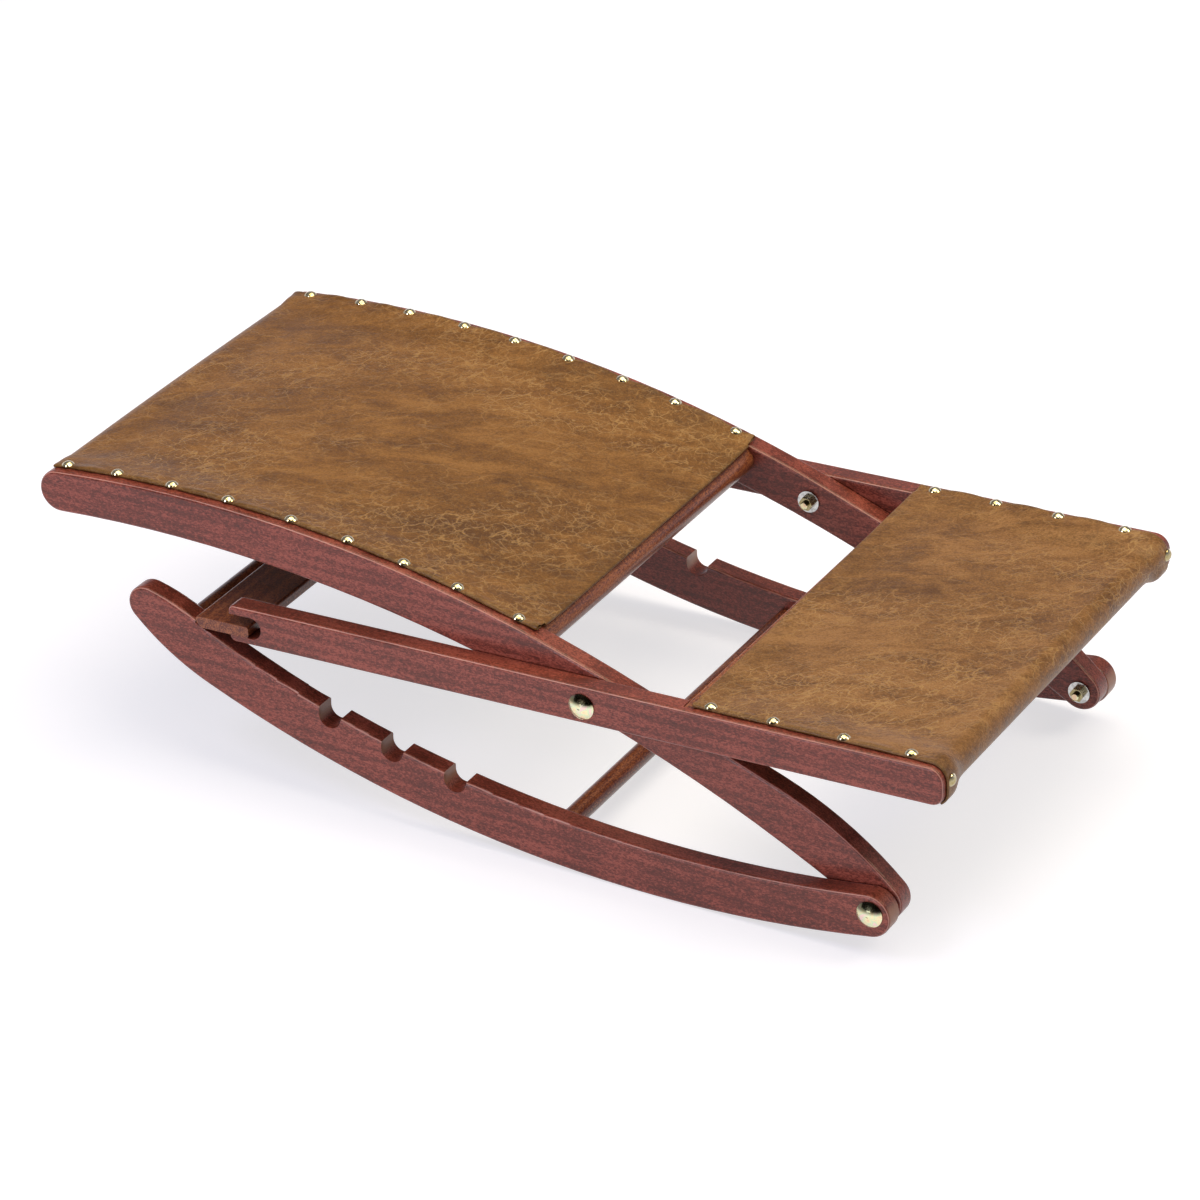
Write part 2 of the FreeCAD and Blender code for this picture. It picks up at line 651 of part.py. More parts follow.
def on_crown(x, reach):
    """The point at x on an arc of the given radius about the centre of the seat rails' crown."""
    across = x - size("seat_crown_x")
    return Vector(x, size("seat_crown_z") + math.sqrt(reach ** 2 - across ** 2), 0)


def crown_strip(sketch, head, foot):
    """Draw the leather's section along the crown between two named places."""
    outline = Outline(sketch)
    under, over = (
        [on_crown(size(name), size(reach)) for name in (head, foot)]
        for reach in ("seat_leather_under", "seat_leather_over")
    )
    lower = outline.arc(under[0], under[1], "seat_leather_under", hollow=True, smooth=False)
    foot_edge = outline.line(under[1], over[1], smooth=False)
    upper = outline.arc(over[1], over[0], "seat_leather_over", smooth=False)
    head_edge = outline.line(over[0], under[0], smooth=False)
    outline.close()
    outline.place(lower, 3, "seat_crown_x", "seat_crown_z")
    outline.add("Coincident", upper, 3, lower, 3)
    outline.upright(foot_edge, head_edge)
    outline.place(foot_edge, 1, x=foot)
    outline.place(head_edge, 1, x=head)
    outline.solve()


def head_roll(sketch):
    """Draw the leather's section where it leaves the crown in a long sweep and rolls round the head bar."""
    outline = Outline(sketch)
    crown = Vector(size("seat_crown_x"), size("seat_crown_z"), 0)
    bar = Vector(size("seat_bar_head_x"), size("seat_bar_head_rise"), 0)
    # The sweep touches the crown and the bar's leather from inside, which places its centre.
    far = size("seat_leather_under") - size("seat_sweep_radius")
    near = size("seat_sweep_radius") - size("seat_roll_under")
    apart = (bar - crown).Length
    corner = math.acos((apart ** 2 + far ** 2 - near ** 2) / (2 * apart * far))
    bearing = math.atan2(bar.y - crown.y, bar.x - crown.x) - corner
    sweep = crown + Vector(math.cos(bearing), math.sin(bearing), 0) * far
    leave = (sweep - crown).normalize()
    meet = (bar - sweep).normalize()
    turn = math.radians(90 + size("seat_roll_wrap"))
    tail = Vector(math.cos(turn), math.sin(turn), 0)
    start = size("seat_roll_x")
    sweeps = {"over": "seat_sweep_over", "under": "seat_sweep_radius"}

    def face(side, hollow):
        """Draw the three touching arcs on one side of the leather, from the crown or back to it."""
        reaches = ("seat_leather_" + side, sweeps[side], "seat_roll_" + side)
        first, second, third = (size(name) for name in reaches)
        steps = [
            (crown, on_crown(start, first), crown + leave * first),
            (sweep, sweep + leave * second, sweep + meet * second),
            (bar, bar + meet * third, bar + tail * third),
        ]
        order = (2, 1, 0) if hollow else (0, 1, 2)
        drawn = {}
        for step in order:
            centre, begin, end = steps[step]
            drawn[step] = outline.arc_about(centre, size(reaches[step]), begin, end, hollow=hollow,
                                            smooth=step != order[-1])
            outline.bind("Radius", (drawn[step],), reaches[step])
        return drawn

    over = face("over", hollow=False)
    tail_edge = outline.line(bar + tail * size("seat_roll_over"), bar + tail * size("seat_roll_under"),
                             smooth=False)
    under = face("under", hollow=True)
    foot_edge = outline.line(on_crown(start, size("seat_leather_under")),
                             on_crown(start, size("seat_leather_over")), smooth=False)
    outline.close()
    outline.place(over[0], 3, "seat_crown_x", "seat_crown_z")
    outline.place(over[2], 3, "seat_bar_head_x", "seat_bar_head_rise")
    outline.add("Coincident", under[0], 3, over[0], 3)
    outline.add("Coincident", under[2], 3, over[2], 3)
    outline.upright(foot_edge)
    outline.place(foot_edge, 1, x="seat_roll_x")
    outline.add("PointOnObject", over[2], 3, tail_edge)
    outline.add("Angle", tail_edge, value=turn - math.pi,
                expression="%s * 1 deg - 90 deg" % ref("seat_roll_wrap"))
    outline.solve()


def seat_leather():
    """Sheet of leather over the rails' crown. Between the rails its head end rolls round the head bar."""
    body = new_body("SeatLeather")
    sheet = new_sketch(body, "SeatLeatherOutline")
    crown_strip(sheet, "seat_roll_x", "seat_leather_foot_x")
    pad(body, sheet, "seat_leather_half", both_ways=True)
    for side in SIDES:
        strip = new_sketch(body, "SeatLeatherStrip", offset="seat_strip_start", sign=-side)
        crown_strip(strip, "seat_leather_head_x", "seat_roll_x")
        pad(body, strip, "seat_strip_width", reverse=side == REAR)
    roll = new_sketch(body, "SeatLeatherRoll")
    head_roll(roll)
    pad(body, roll, "seat_roll_half", both_ways=True)
    stand_at_cross(body)
    return body


# ---------------------------------------------------------------- foot frame

def foot_rail(side):
    """Straight rail with an open slot for the prop board and a housing for the batten."""
    body = new_body("FootRail" + SIDES[side].capitalize())
    sketch = new_sketch(body, "FootOutline" + SIDES[side].capitalize(), offset="foot_inner", sign=-side)
    rounded_bar(Outline(sketch), "jaw_end", "foot_reach", "foot_rail_bottom", "foot_rail_above",
                ("foot_low_corner", "foot_top_corner", "jaw_top_corner", "jaw_low_corner"))
    rim = pad(body, sketch, "rail_thickness", reverse=side == REAR)
    round_arrises(body, rim)

    slot = new_sketch(body, "Slot", offset="foot_inner", sign=-side)
    cut = Outline(slot)
    mouth, end = size("slot_mouth"), size("slot_centre_x")
    floor, roof = size("slot_bottom"), size("slot_top")
    lower = cut.line((mouth, floor), (end, floor))
    round_end = cut.arc((end, floor), (end, roof), "slot_round")
    upper = cut.line((end, roof), (mouth, roof), smooth=False)
    back = cut.line((mouth, roof), (mouth, floor), smooth=False)
    cut.close()
    cut.upright(back)
    cut.level(lower, upper)
    cut.place(lower, 1, "slot_mouth", "slot_bottom")
    cut.place(round_end, 3, "slot_centre_x")
    cut.solve()
    pocket(body, slot, side)

    housing = new_sketch(body, "Housing", offset="foot_inner", sign=-side)
    add_rectangle(housing, "housing_head", "housing_foot", "housing_bottom", "housing_top")
    pocket(body, housing, side, "housing_depth")
    bore(body, "CrossBore", side, "foot_inner", "bore_radius")
    bore(body, "BarSocket", side, "foot_inner", "bar_socket_radius", "foot_bar_x", "foot_bar_rise",
         (size("foot_bar_x"), size("foot_bar_rise")), "socket_depth")
    tilt_with_foot(body)
    return body


def add_rectangle(sketch, head, foot, bottom, top):
    """A sharp rectangle between four named places."""
    outline = Outline(sketch)
    left, right, low, high = (size(name) for name in (head, foot, bottom, top))
    lower = outline.line((left, low), (right, low), smooth=False)
    nearer = outline.line((right, low), (right, high), smooth=False)
    upper = outline.line((right, high), (left, high), smooth=False)
    further = outline.line((left, high), (left, low), smooth=False)
    outline.close()
    outline.level(lower, upper)
    outline.upright(nearer, further)
    outline.place(lower, 1, head, bottom)
    outline.place(upper, 1, foot, top)
    outline.solve()


def cross_piece(name, half_length, profile):
    """A bar of constant section across the foot frame, drawn by a function and padded both ways."""
    body = new_body(name)
    sketch = new_sketch(body, name + "Outline")
    profile(Outline(sketch))
    pad(body, sketch, half_length, both_ways=True)
    tilt_with_foot(body)
    return body


def batten_profile(outline):
    corner = "batten_corner"
    rounded_bar(outline, "batten_head", "batten_foot", "batten_bottom", "foot_rail_above",
                (corner, corner, corner, corner))


def board_profile(outline):
    """Board section with a large round under its head edge, where it lies behind the shoulders."""
    edge = "board_edge_radius"
    rounded_bar(outline, "board_head", "board_foot", "board_bottom", "board_top",
                (edge, edge, edge, "board_heel_radius"))


def foot_leather_profile(outline):
    """Leather along the rails' top, round their end and a little way down."""
    head, low = size("foot_leather_head_x"), size("foot_leather_low")
    under, over = size("foot_leather_under"), size("foot_leather_over")
    back, front = size("foot_leather_back"), size("foot_leather_front")
    bend, bow = size("foot_leather_bend"), size("foot_leather_bow")
    lower = outline.line((head, under), (back - bend, under))
    outline.arc((back - bend, under), (back, under - bend), "foot_leather_bend", hollow=True)
    inside = outline.line((back, under - bend), (back, low), smooth=False)
    hem = outline.line((back, low), (front, low), smooth=False)
    outside = outline.line((front, low), (front, over - bow))
    outline.arc((front, over - bow), (front - bow, over), "foot_leather_bow")
    upper = outline.line((front - bow, over), (head, over), smooth=False)
    edge = outline.line((head, over), (head, under), smooth=False)
    outline.close()
    outline.level(lower, hem, upper)
    outline.upright(inside, outside, edge)
    outline.place(lower, 1, "foot_leather_head_x", "foot_leather_under")
    outline.place(upper, 1, z="foot_leather_over")
    outline.place(inside, 2, "foot_leather_back", "foot_leather_low")
    outline.place(outside, 1, x="foot_leather_front")
    outline.solve()


# ---------------------------------------------------------------- round bars

def round_bar(name, radius, half_length, x, z):
    """A dowel across the stool, centred on its middle plane, at a named place from its frame."""
    bar = doc.addObject("Part::Cylinder", name)
    bar.setExpression("Radius", ref(radius))
    bar.setExpression("Height", "2 * " + ref(half_length))
    bar.Placement = Placement(Vector(), Rotation(Vector(1, 0, 0), -90))
    bar.setExpression("Placement.Base.x", x)
    bar.setExpression("Placement.Base.y", "-" + ref(half_length))
    bar.setExpression("Placement.Base.z", z)
    return bar


def from_cross(name):
    return "%s + %s" % (ref("cross_x"), ref(name))


def stretcher(name):
    return finish(
        round_bar("Stretcher" + name.capitalize(), "stretcher_radius", "foot_bar_half",
                  from_cross("stretcher_%s_x" % name), ref("stretcher_%s_height" % name)),
        "stretcher_" + name)


def seat_bar(name):
    return round_bar("SeatBar" + name.capitalize(), "bar_radius", "seat_bar_half",
                     from_cross("seat_bar_%s_x" % name),
                     "%s + %s" % (ref("cross_height"), ref("seat_bar_%s_rise" % name)))


def foot_bar():
    """The end dowel, turned about the cross bolt with the foot frame."""
    tilt = "%s * 1 deg" % ref("foot_tilt")
    along, up = ref("foot_bar_x"), ref("foot_bar_rise")
    return round_bar("FootBarEnd", "bar_radius", "foot_bar_half",
                     "%s + %s * cos(%s) - %s * sin(%s)" % (ref("cross_x"), along, tilt, up, tilt),
                     "%s + %s * sin(%s) + %s * cos(%s)" % (ref("cross_height"), along, tilt, up, tilt))


# ---------------------------------------------------------------- upholstery nails

def nail_body():
    """One dome-headed nail, head up, with its seat at the origin."""
    body = new_body("Nail")
    sketch = new_sketch(body, "NailProfile")
    outline = Outline(sketch)
    head, crown = size("nail_head_radius"), size("nail_head_height")
    shank, taper, tip = size("nail_shank_radius"), size("nail_taper"), size("nail_tip")
    axis = outline.line((0, crown), (0, tip), smooth=False)
    outline.line((0, tip), (shank, taper), smooth=False)
    side = outline.line((shank, taper), (shank, 0), smooth=False)
    rim = outline.line((shank, 0), (head, 0), smooth=False)
    reach = (crown ** 2 + head ** 2) / (2 * crown)
    dome = outline.arc_about(Vector(0, crown - reach), reach, Vector(head, 0), Vector(0, crown), smooth=False)
    outline.close()
    outline.add("PointOnObject", dome, 3, -2)
    outline.upright(axis, side)
    outline.add("PointOnObject", axis, 1, -2)
    outline.level(rim)
    outline.place(axis, 1, z="nail_head_height")
    outline.place(axis, 2, z="nail_tip")
    outline.place(side, 1, "nail_shank_radius", "nail_taper")
    outline.add("PointOnObject", rim, 1, -1)
    outline.place(rim, 2, x="nail_head_radius")
    outline.solve()
    turn = body.newObject("PartDesign::Revolution", "Turned")
    turn.Profile = sketch
    turn.ReferenceAxis = (sketch, ["V_Axis"])
    turn.Angle = 360
    doc.recompute()
    return body


def even_places(first, last, count, drift):
    """Places from first to last, evenly spaced and then moved by their own small drift."""
    number = int(size(count))
    pitch = (size(last) - size(first)) / max(number - 1, 1)
    return [size(first) + pitch * index + drift[index % len(drift)] for index in range(number)]


def seat_nail_places(side):
    """Where the nails of one seat rail stand: on the leather, square to the crown."""
    drift = SEAT_NAIL_DRIFT_FRONT if side == FRONT else SEAT_NAIL_DRIFT_REAR
    crown = Vector(size("cross_x") + size("seat_crown_x"), 0, size("cross_height") + size("seat_crown_z"))
    found = []
    for x in even_places("seat_nail_first_x", "seat_nail_last_x", "seat_nail_count", drift):
        lean = math.asin((x - size("seat_crown_x")) / size("seat_leather_over"))
        up = Vector(math.sin(lean), 0, math.cos(lean))
        point = crown + up * size("seat_leather_over") + Vector(0, side * size("seat_nail_y"), 0)
        found.append(Placement(point, Rotation(Vector(0, 1, 0), math.degrees(lean))))
    return found


def on_foot_frame(x, z, side, turn):
    """A place on the foot frame's own axes, turned about Y."""
    frame = Placement(Vector(size("cross_x"), 0, size("cross_height")),
                      Rotation(Vector(0, -1, 0), size("foot_tilt")))
    own = Placement(Vector(x, side * size("foot_nail_y"), z), Rotation(Vector(0, 1, 0), turn))
    return frame.multiply(own)


def foot_nail_places(side):
    drift = FOOT_NAIL_DRIFT_FRONT if side == FRONT else FOOT_NAIL_DRIFT_REAR
    along = even_places("foot_nail_first_x", "foot_nail_last_x", "foot_nail_count", drift)
    return [on_foot_frame(x, size("foot_leather_over"), side, 0) for x in along]


def end_nail_places():
    return [on_foot_frame(size("foot_leather_front"), size("end_nail_rise"), side, 90) for side in SIDES]


def nail_group(name, nail, spots):
    """The placed copies of one nail, as one group of separate solids."""
    group = doc.addObject("Part::Feature", name.title().replace("_", ""))
    copies = []
    for spot in spots:
        copy = nail.Shape.copy()
        copy.Placement = spot
        copies.append(copy)
    group.Shape = Part.makeCompound(copies)
    return finish(group, name)


def nail_holes(name, spots):
    """Pilot holes for the nails, a little wider than their shanks."""
    radius = size("nail_shank_radius") + size("nail_hole_fit")
    length = size("nail_length") + size("nail_hole_fit")
    holes = doc.addObject("Part::Feature", name)
    drills = []
    for spot in spots:
        drill = Part.makeCylinder(radius, 2 * length, Vector(0, 0, -length))
        drill.Placement = spot
        drills.append(drill)
    holes.Shape = Part.makeCompound(drills)
    return holes


def drilled(item, holes, label):
    """The item with the nail holes cut from it."""
    cut = doc.addObject("Part::Cut", item.Name + "Drilled")
    cut.Base = item
    cut.Tool = holes
    return finish(cut, label)


# ---------------------------------------------------------------- pivot bolts

def bolt_body(name):
    """Dome-headed bolt across the front rails, on the Y axis through its body's origin."""
    body = new_body(name)
    sketch = new_sketch(body, name + "Profile", plane="XY_Plane")
    outline = Outline(sketch)
    head, shank, tip = size("bolt_head_radius"), size("bolt_radius"), size("bolt_tip_radius")
    crown, rim, face = size("bolt_crown_y"), size("bolt_rim_y"), size("bolt_face_y")
    bevel, end = size("bolt_chamfer_y"), size("bolt_end_y")
    rise = rim - crown
    reach = (head ** 2 + rise ** 2) / (2 * rise)
    dome = outline.arc_about(Vector(0, crown + reach), reach, Vector(0, crown), Vector(head, rim),
                             smooth=False)
    edge = outline.line((head, rim), (head, face), smooth=False)
    under = outline.line((head, face), (shank, face), smooth=False)
    stem = outline.line((shank, face), (shank, bevel), smooth=False)
    outline.line((shank, bevel), (tip, end), smooth=False)
    bottom = outline.line((tip, end), (0, end), smooth=False)
    axis = outline.line((0, end), (0, crown), smooth=False)
    outline.close()
    outline.add("PointOnObject", dome, 3, -2)
    outline.add("PointOnObject", axis, 1, -2)
    outline.upright(edge, stem, axis)
    outline.level(under, bottom)
    outline.place(axis, 2, z="bolt_crown_y")
    outline.place(edge, 1, "bolt_head_radius", "bolt_rim_y")
    outline.place(stem, 1, "bolt_radius", "bolt_face_y")
    outline.place(stem, 2, z="bolt_chamfer_y")
    outline.place(bottom, 1, "bolt_tip_radius", "bolt_end_y")
    outline.solve()
    turn = body.newObject("PartDesign::Revolution", "Turned")
    turn.Profile = sketch
    turn.ReferenceAxis = (sketch, ["V_Axis"])
    turn.Angle = 360
    doc.recompute()
    return body


def washer_body(name):
    body = new_body(name)
    sketch = new_sketch(body, name + "Outline", offset="washer_seat")
    outline = Outline(sketch)
    outline.circle("washer_radius")
    outline.circle("washer_bore_radius")
    outline.solve()
    pad(body, sketch, "washer_thickness", reverse=True)
    return body


def nut_body(name):
    """Hexagon nut that bears on the washer."""
    body = new_body(name)
    sketch = new_sketch(body, name + "Outline", offset="nut_seat")
    outline = Outline(sketch)
    outline.circle("bore_radius")
    outline.circle("nut_corner_radius")
    guide = sketch.GeometryCount - 1
    sketch.toggleConstruction(guide)
    turns = [math.radians(60 * index) for index in range(7)]
    spots = [(size("nut_corner_radius") * math.cos(turn), size("nut_corner_radius") * math.sin(turn))
             for turn in turns]
    flats = [outline.line(start, end, smooth=False) for start, end in zip(spots, spots[1:])]
    outline.close()
    for flat in flats:
        outline.add("PointOnObject", flat, 1, guide)
    for flat in flats[1:]:
        outline.add("Equal", flats[0], flat)
    outline.add("PointOnObject", flats[0], 1, -1)
    outline.solve()
    pad(body, sketch, "nut_height", reverse=True)
    return body


def both_sides(body, label):
    """The body and its mirror image across the stool, as one group of two solids."""
    mirror = doc.addObject("Part::Mirroring", body.Name + "Mirror")
    mirror.Source = body
    mirror.Normal = Vector(0, 1, 0)
    pair = doc.addObject("Part::Compound", body.Name + "Pair")
    pair.Links = [body, mirror]
    return finish(pair, label)


def pivot_set(joint):
    """Bolts, washers and nuts of one pivot, at the cross or at the rocker pivot."""
    pieces = []
    for maker, word in ((bolt_body, "bolts"), (washer_body, "washers"), (nut_body, "nuts")):
        body = maker(joint.capitalize() + word.capitalize())
        if joint == "cross":
            stand_at_cross(body)
        else:
            body.setExpression("Placement.Base.x", from_cross("rocker_pivot_x"))
            body.setExpression("Placement.Base.z", ref("rocker_pivot_height"))
        pieces.append(both_sides(body, "%s_%s" % (joint, word)))
    return pieces


# ---------------------------------------------------------------- assembly and export

def build():
    """Build every sub-part and return them in the order of the frames."""
    nodes = [rocker(side) for side in SIDES]
    nodes += [stretcher("middle"), stretcher("head")]
    nodes += pivot_set("rocker")

    nail = nail_body()
    seat_spots = {side: seat_nail_places(side) for side in SIDES}
    foot_spots = {side: foot_nail_places(side) for side in SIDES}
    seat_holes = nail_holes("SeatNailHoles", seat_spots[FRONT] + seat_spots[REAR])
    foot_holes = nail_holes("FootNailHoles", foot_spots[FRONT] + foot_spots[REAR] + end_nail_places())

    nodes += [drilled(seat_rail(side), seat_holes, "seat_rail_" + SIDES[side]) for side in SIDES]
    nodes += [drilled(seat_bar(name), seat_holes, "seat_bar_" + name) for name in ("head", "foot")]
    nodes.append(drilled(seat_leather(), seat_holes, "seat_leather"))
    nodes += [nail_group("seat_nails_" + SIDES[side], nail, seat_spots[side]) for side in SIDES]

    nodes += [drilled(foot_rail(side), foot_holes, "foot_rail_" + SIDES[side]) for side in SIDES]
    nodes.append(finish(cross_piece("FootBarInner", "batten_half", batten_profile), "foot_bar_inner"))
    nodes.append(drilled(foot_bar(), foot_holes, "foot_bar_end"))
    nodes.append(finish(cross_piece("PropBoard", "foot_outer", board_profile), "prop_board"))
    leather = cross_piece("FootLeather", "foot_leather_half", foot_leather_profile)
    nodes.append(drilled(leather, foot_holes, "foot_leather"))
    nodes += [nail_group("foot_nails_" + SIDES[side], nail, foot_spots[side]) for side in SIDES]
    nodes.append(nail_group("foot_end_nails", nail, end_nail_places()))
    nodes += pivot_set("cross")
    doc.recompute()
    return nodes


def check(nodes):
    """Stop before writing if any object or sub-part is unsound."""
    for item in doc.Objects:
        if "Invalid" in item.State or "Error" in item.State:
            raise RuntimeError("%s failed: %s" % (item.Name, item.State))
    for item in nodes:
        if item.Shape.isNull() or not item.Shape.isValid():
            raise RuntimeError("%s has no sound shape" % item.Label)


def export(nodes):
    os.makedirs("parts", exist_ok=True)
    for item in nodes:
        item.Shape.exportStep("parts/%s.step" % item.Label)


assembly = build()
check(assembly)
export(assembly)
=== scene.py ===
"""Looks of the rocking footstool: stained rails, two hemmed leather panels, brass nails, plated bolts.

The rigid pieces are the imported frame's own solids with a finish each. The leather panels are made
here as sheets with turned hems, in the place of their plain solids.

Frame: X runs from the seat end to the foot end, Y across, Z up, floor at Z = 0. Sizes are in metres
and angles in degrees. The foot frame leans by two degrees about the cross bolts' axis.
"""
import logging
import math
from dataclasses import dataclass, field
from enum import Enum
from typing import Callable, Sequence

import bmesh
import bpy
from mathutils import Matrix, Vector


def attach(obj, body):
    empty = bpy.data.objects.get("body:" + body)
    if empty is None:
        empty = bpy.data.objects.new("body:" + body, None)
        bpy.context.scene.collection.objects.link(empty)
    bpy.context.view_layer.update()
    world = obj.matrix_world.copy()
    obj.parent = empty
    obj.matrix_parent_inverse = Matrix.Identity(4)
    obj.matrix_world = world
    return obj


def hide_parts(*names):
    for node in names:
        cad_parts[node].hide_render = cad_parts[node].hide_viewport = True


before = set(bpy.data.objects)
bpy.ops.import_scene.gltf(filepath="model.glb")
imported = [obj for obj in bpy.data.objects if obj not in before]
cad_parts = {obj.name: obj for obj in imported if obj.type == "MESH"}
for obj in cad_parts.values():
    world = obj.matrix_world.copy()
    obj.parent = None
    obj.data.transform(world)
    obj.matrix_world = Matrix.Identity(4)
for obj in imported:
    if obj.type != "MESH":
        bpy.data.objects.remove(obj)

LOG = logging.getLogger("footstool")

Pair = tuple[float, float]
Triple = tuple[float, float, float]
Colour = Triple
Socket = bpy.types.NodeSocket
Feed = Socket | float | Sequence[float]
Vert = bmesh.types.BMVert


class Body(Enum):
    """Moving bodies that carry a leather."""

    SEAT = "seat_frame"
    FOOT = "foot_frame"


class Grain(Enum):
    """Direction that the wood's grain runs in, as an axis of the object's frame."""

    ALONG = 0
    ACROSS = 1


# ---- shader graphs

# Offset of a pattern along X, Y and Z, as shares of its shift.
SHIFT_SHARES = (1.0, 1.7, 2.3)
# Bends of a net's lines per cell, its openings per cell, and how softly an opening begins.
BEND_RATE, OPENING_RATE, OPENING_FADE = 1.3, 0.9, 0.07


def put(value: Feed, socket: Socket) -> None:
    """Give an input a plain value or another node's output."""
    if isinstance(value, Socket):
        socket.id_data.links.new(value, socket)
    else:
        socket.default_value = value


def feed(node: bpy.types.Node, **sockets: Feed) -> None:
    """Set a node's own inputs.

    Args:
        node: the node.
        sockets: what each input gets, named with underscores for spaces.
    """
    for name, value in sockets.items():
        put(value, node.inputs[name.replace("_", " ")])


class Graph:
    """One material and short calls that add its nodes."""

    def __init__(self, name: str) -> None:
        """Start a material with a principled shader and object coordinates.

        Args:
            name: the material's name.
        """
        self.material = bpy.data.materials.new(name)
        self.material.use_nodes = True
        self.tree = self.material.node_tree
        self.tree.nodes.clear()
        self.surface = self.add("BsdfPrincipled")
        self.add("OutputMaterial", Surface=self.surface.outputs["BSDF"])
        coordinates = self.add("TexCoord")
        self.place = coordinates.outputs["Object"]
        self.facing = coordinates.outputs["Normal"]

    def add(self, kind: str, **settings: object) -> bpy.types.Node:
        """Add a node and set it up.

        Args:
            kind: the node's type name after ShaderNode.
            settings: its properties, and then its inputs as for feed, which start with a capital letter.

        Returns:
            The new node.
        """
        node = self.tree.nodes.new("ShaderNode" + kind)
        for name, value in settings.items():
            if name[0].isupper():
                feed(node, **{name: value})
            else:
                setattr(node, name, value)
        return node

    def stretched(self, shift: float, scale: Triple = (1.0, 1.0, 1.0)) -> Socket:
        """Object coordinates multiplied by a scale of their own on each axis.

        Args:
            shift: offset that keeps two patterns apart.
            scale: repeats per metre along X, Y and Z.

        Returns:
            The scaled coordinates.
        """
        offset = [shift * share for share in SHIFT_SHARES]
        mapping = self.add("Mapping", Vector=self.place, Location=offset, Scale=scale)
        return mapping.outputs["Vector"]

    def noise(self, at: Socket, scale: float = 1.0, detail: float = 2.0, rough: float = 0.5,
              warp: float = 0.0) -> Socket:
        """Noise between 0 and 1.

        Args:
            at: coordinates to read.
            scale: repeats per unit of the coordinates.
            detail: octaves.
            rough: share of the fine octaves.
            warp: distortion.

        Returns:
            The noise value.
        """
        node = self.add("TexNoise", Vector=at, Scale=scale, Detail=detail, Roughness=rough, Distortion=warp)
        return node.outputs["Fac"]

    def ramp(self, value: Socket, stops: list[tuple[float, Colour]]) -> Socket:
        """Colours along a value.

        Args:
            value: what is looked up.
            stops: place and linear colour of each stop.

        Returns:
            The colour.
        """
        node = self.add("ValToRGB", Fac=value)
        elements = node.color_ramp.elements
        while len(elements) < len(stops):
            elements.new(0.5)
        for element, (position, colour) in zip(elements, stops):
            element.position = position
            element.color = (*colour, 1.0)
        return node.outputs["Color"]

    def span(self, value: Socket, start: float, end: float, low: float = 0.0, high: float = 1.0) -> Socket:
        """Value eased from one range to another and kept within it.

        Args:
            value: what is mapped.
            start: where the result is low.
            end: where the result is high.
            low: result at the start.
            high: result at the end.

        Returns:
            The mapped value.
        """
        node = self.add("MapRange", interpolation_type="SMOOTHSTEP", Value=value, From_Min=start,
                        From_Max=end, To_Min=low, To_Max=high)
        return node.outputs["Result"]

    def math(self, operation: str, first: Socket, second: Socket | float) -> Socket:
        """One sum or comparison of two values.

        Args:
            operation: the Math node's operation.
            first: a value.
            second: a value or a plain number.

        Returns:
            The result.
        """
        node = self.add("Math", operation=operation)
        put(first, node.inputs[0])
        put(second, node.inputs[1])
        return node.outputs["Value"]

    def part(self, vector: Socket, axis: int) -> Socket:
        """One part of a vector: 0 for X, 1 for Y, 2 for Z."""
        return self.add("SeparateXYZ", Vector=vector).outputs[axis]

    def web(self, at: Socket, scale: float, width: float, sway: float, gaps: float) -> Socket:
        """Net of thin wavy lines between irregular cells, open in places.

        Args:
            at: coordinates to read.
            scale: cells per unit of the coordinates.
            width: width of a line as a share of a cell.
            sway: how far the lines wander, in units of the coordinates.
            gaps: share of the net that is left out.

        Returns:
            1 on a line, 0 elsewhere.
        """
        wander = self.add("TexNoise", Vector=at, Scale=scale * BEND_RATE, Detail=3.0)
        shift = self.add("VectorMath", operation="SCALE", Vector=wander.outputs["Color"], Scale=sway)
        total = self.add("VectorMath", operation="ADD", Vector=at)
        put(shift.outputs["Vector"], total.inputs[1])
        cells = self.add("TexVoronoi", feature="DISTANCE_TO_EDGE", Vector=total.outputs["Vector"], Scale=scale)
        line = self.span(cells.outputs["Distance"], 0.0, width, 1.0, 0.0)
        kept = self.span(self.noise(at, scale=scale * OPENING_RATE), gaps, gaps + OPENING_FADE)
        return self.math("MULTIPLY", line, kept)

    def mix(self, share: Socket, first: Socket, second: Colour) -> Socket:
        """Blend of a colour with a fixed one.

        Args:
            share: part of the fixed colour.
            first: colour at 0.
            second: the fixed colour.

        Returns:
            The blended colour.
        """
        node = self.add("Mix", data_type="RGBA", Factor=share, A=first, B=(*second, 1.0))
        return node.outputs["Result"]

    def relief(self, height: Socket, depth: float, strength: float) -> None:
        """Bump the surface, over any relief given before.

        Args:
            height: 0 to 1.
            depth: height of 1 in metres.
            strength: share of the bump.
        """
        bump = self.add("Bump", Height=height, Distance=depth, Strength=strength)
        socket = self.surface.inputs["Normal"]
        if socket.is_linked:
            put(socket.links[0].from_socket, bump.inputs["Normal"])
        put(bump.outputs["Normal"], socket)


# ---- finishes

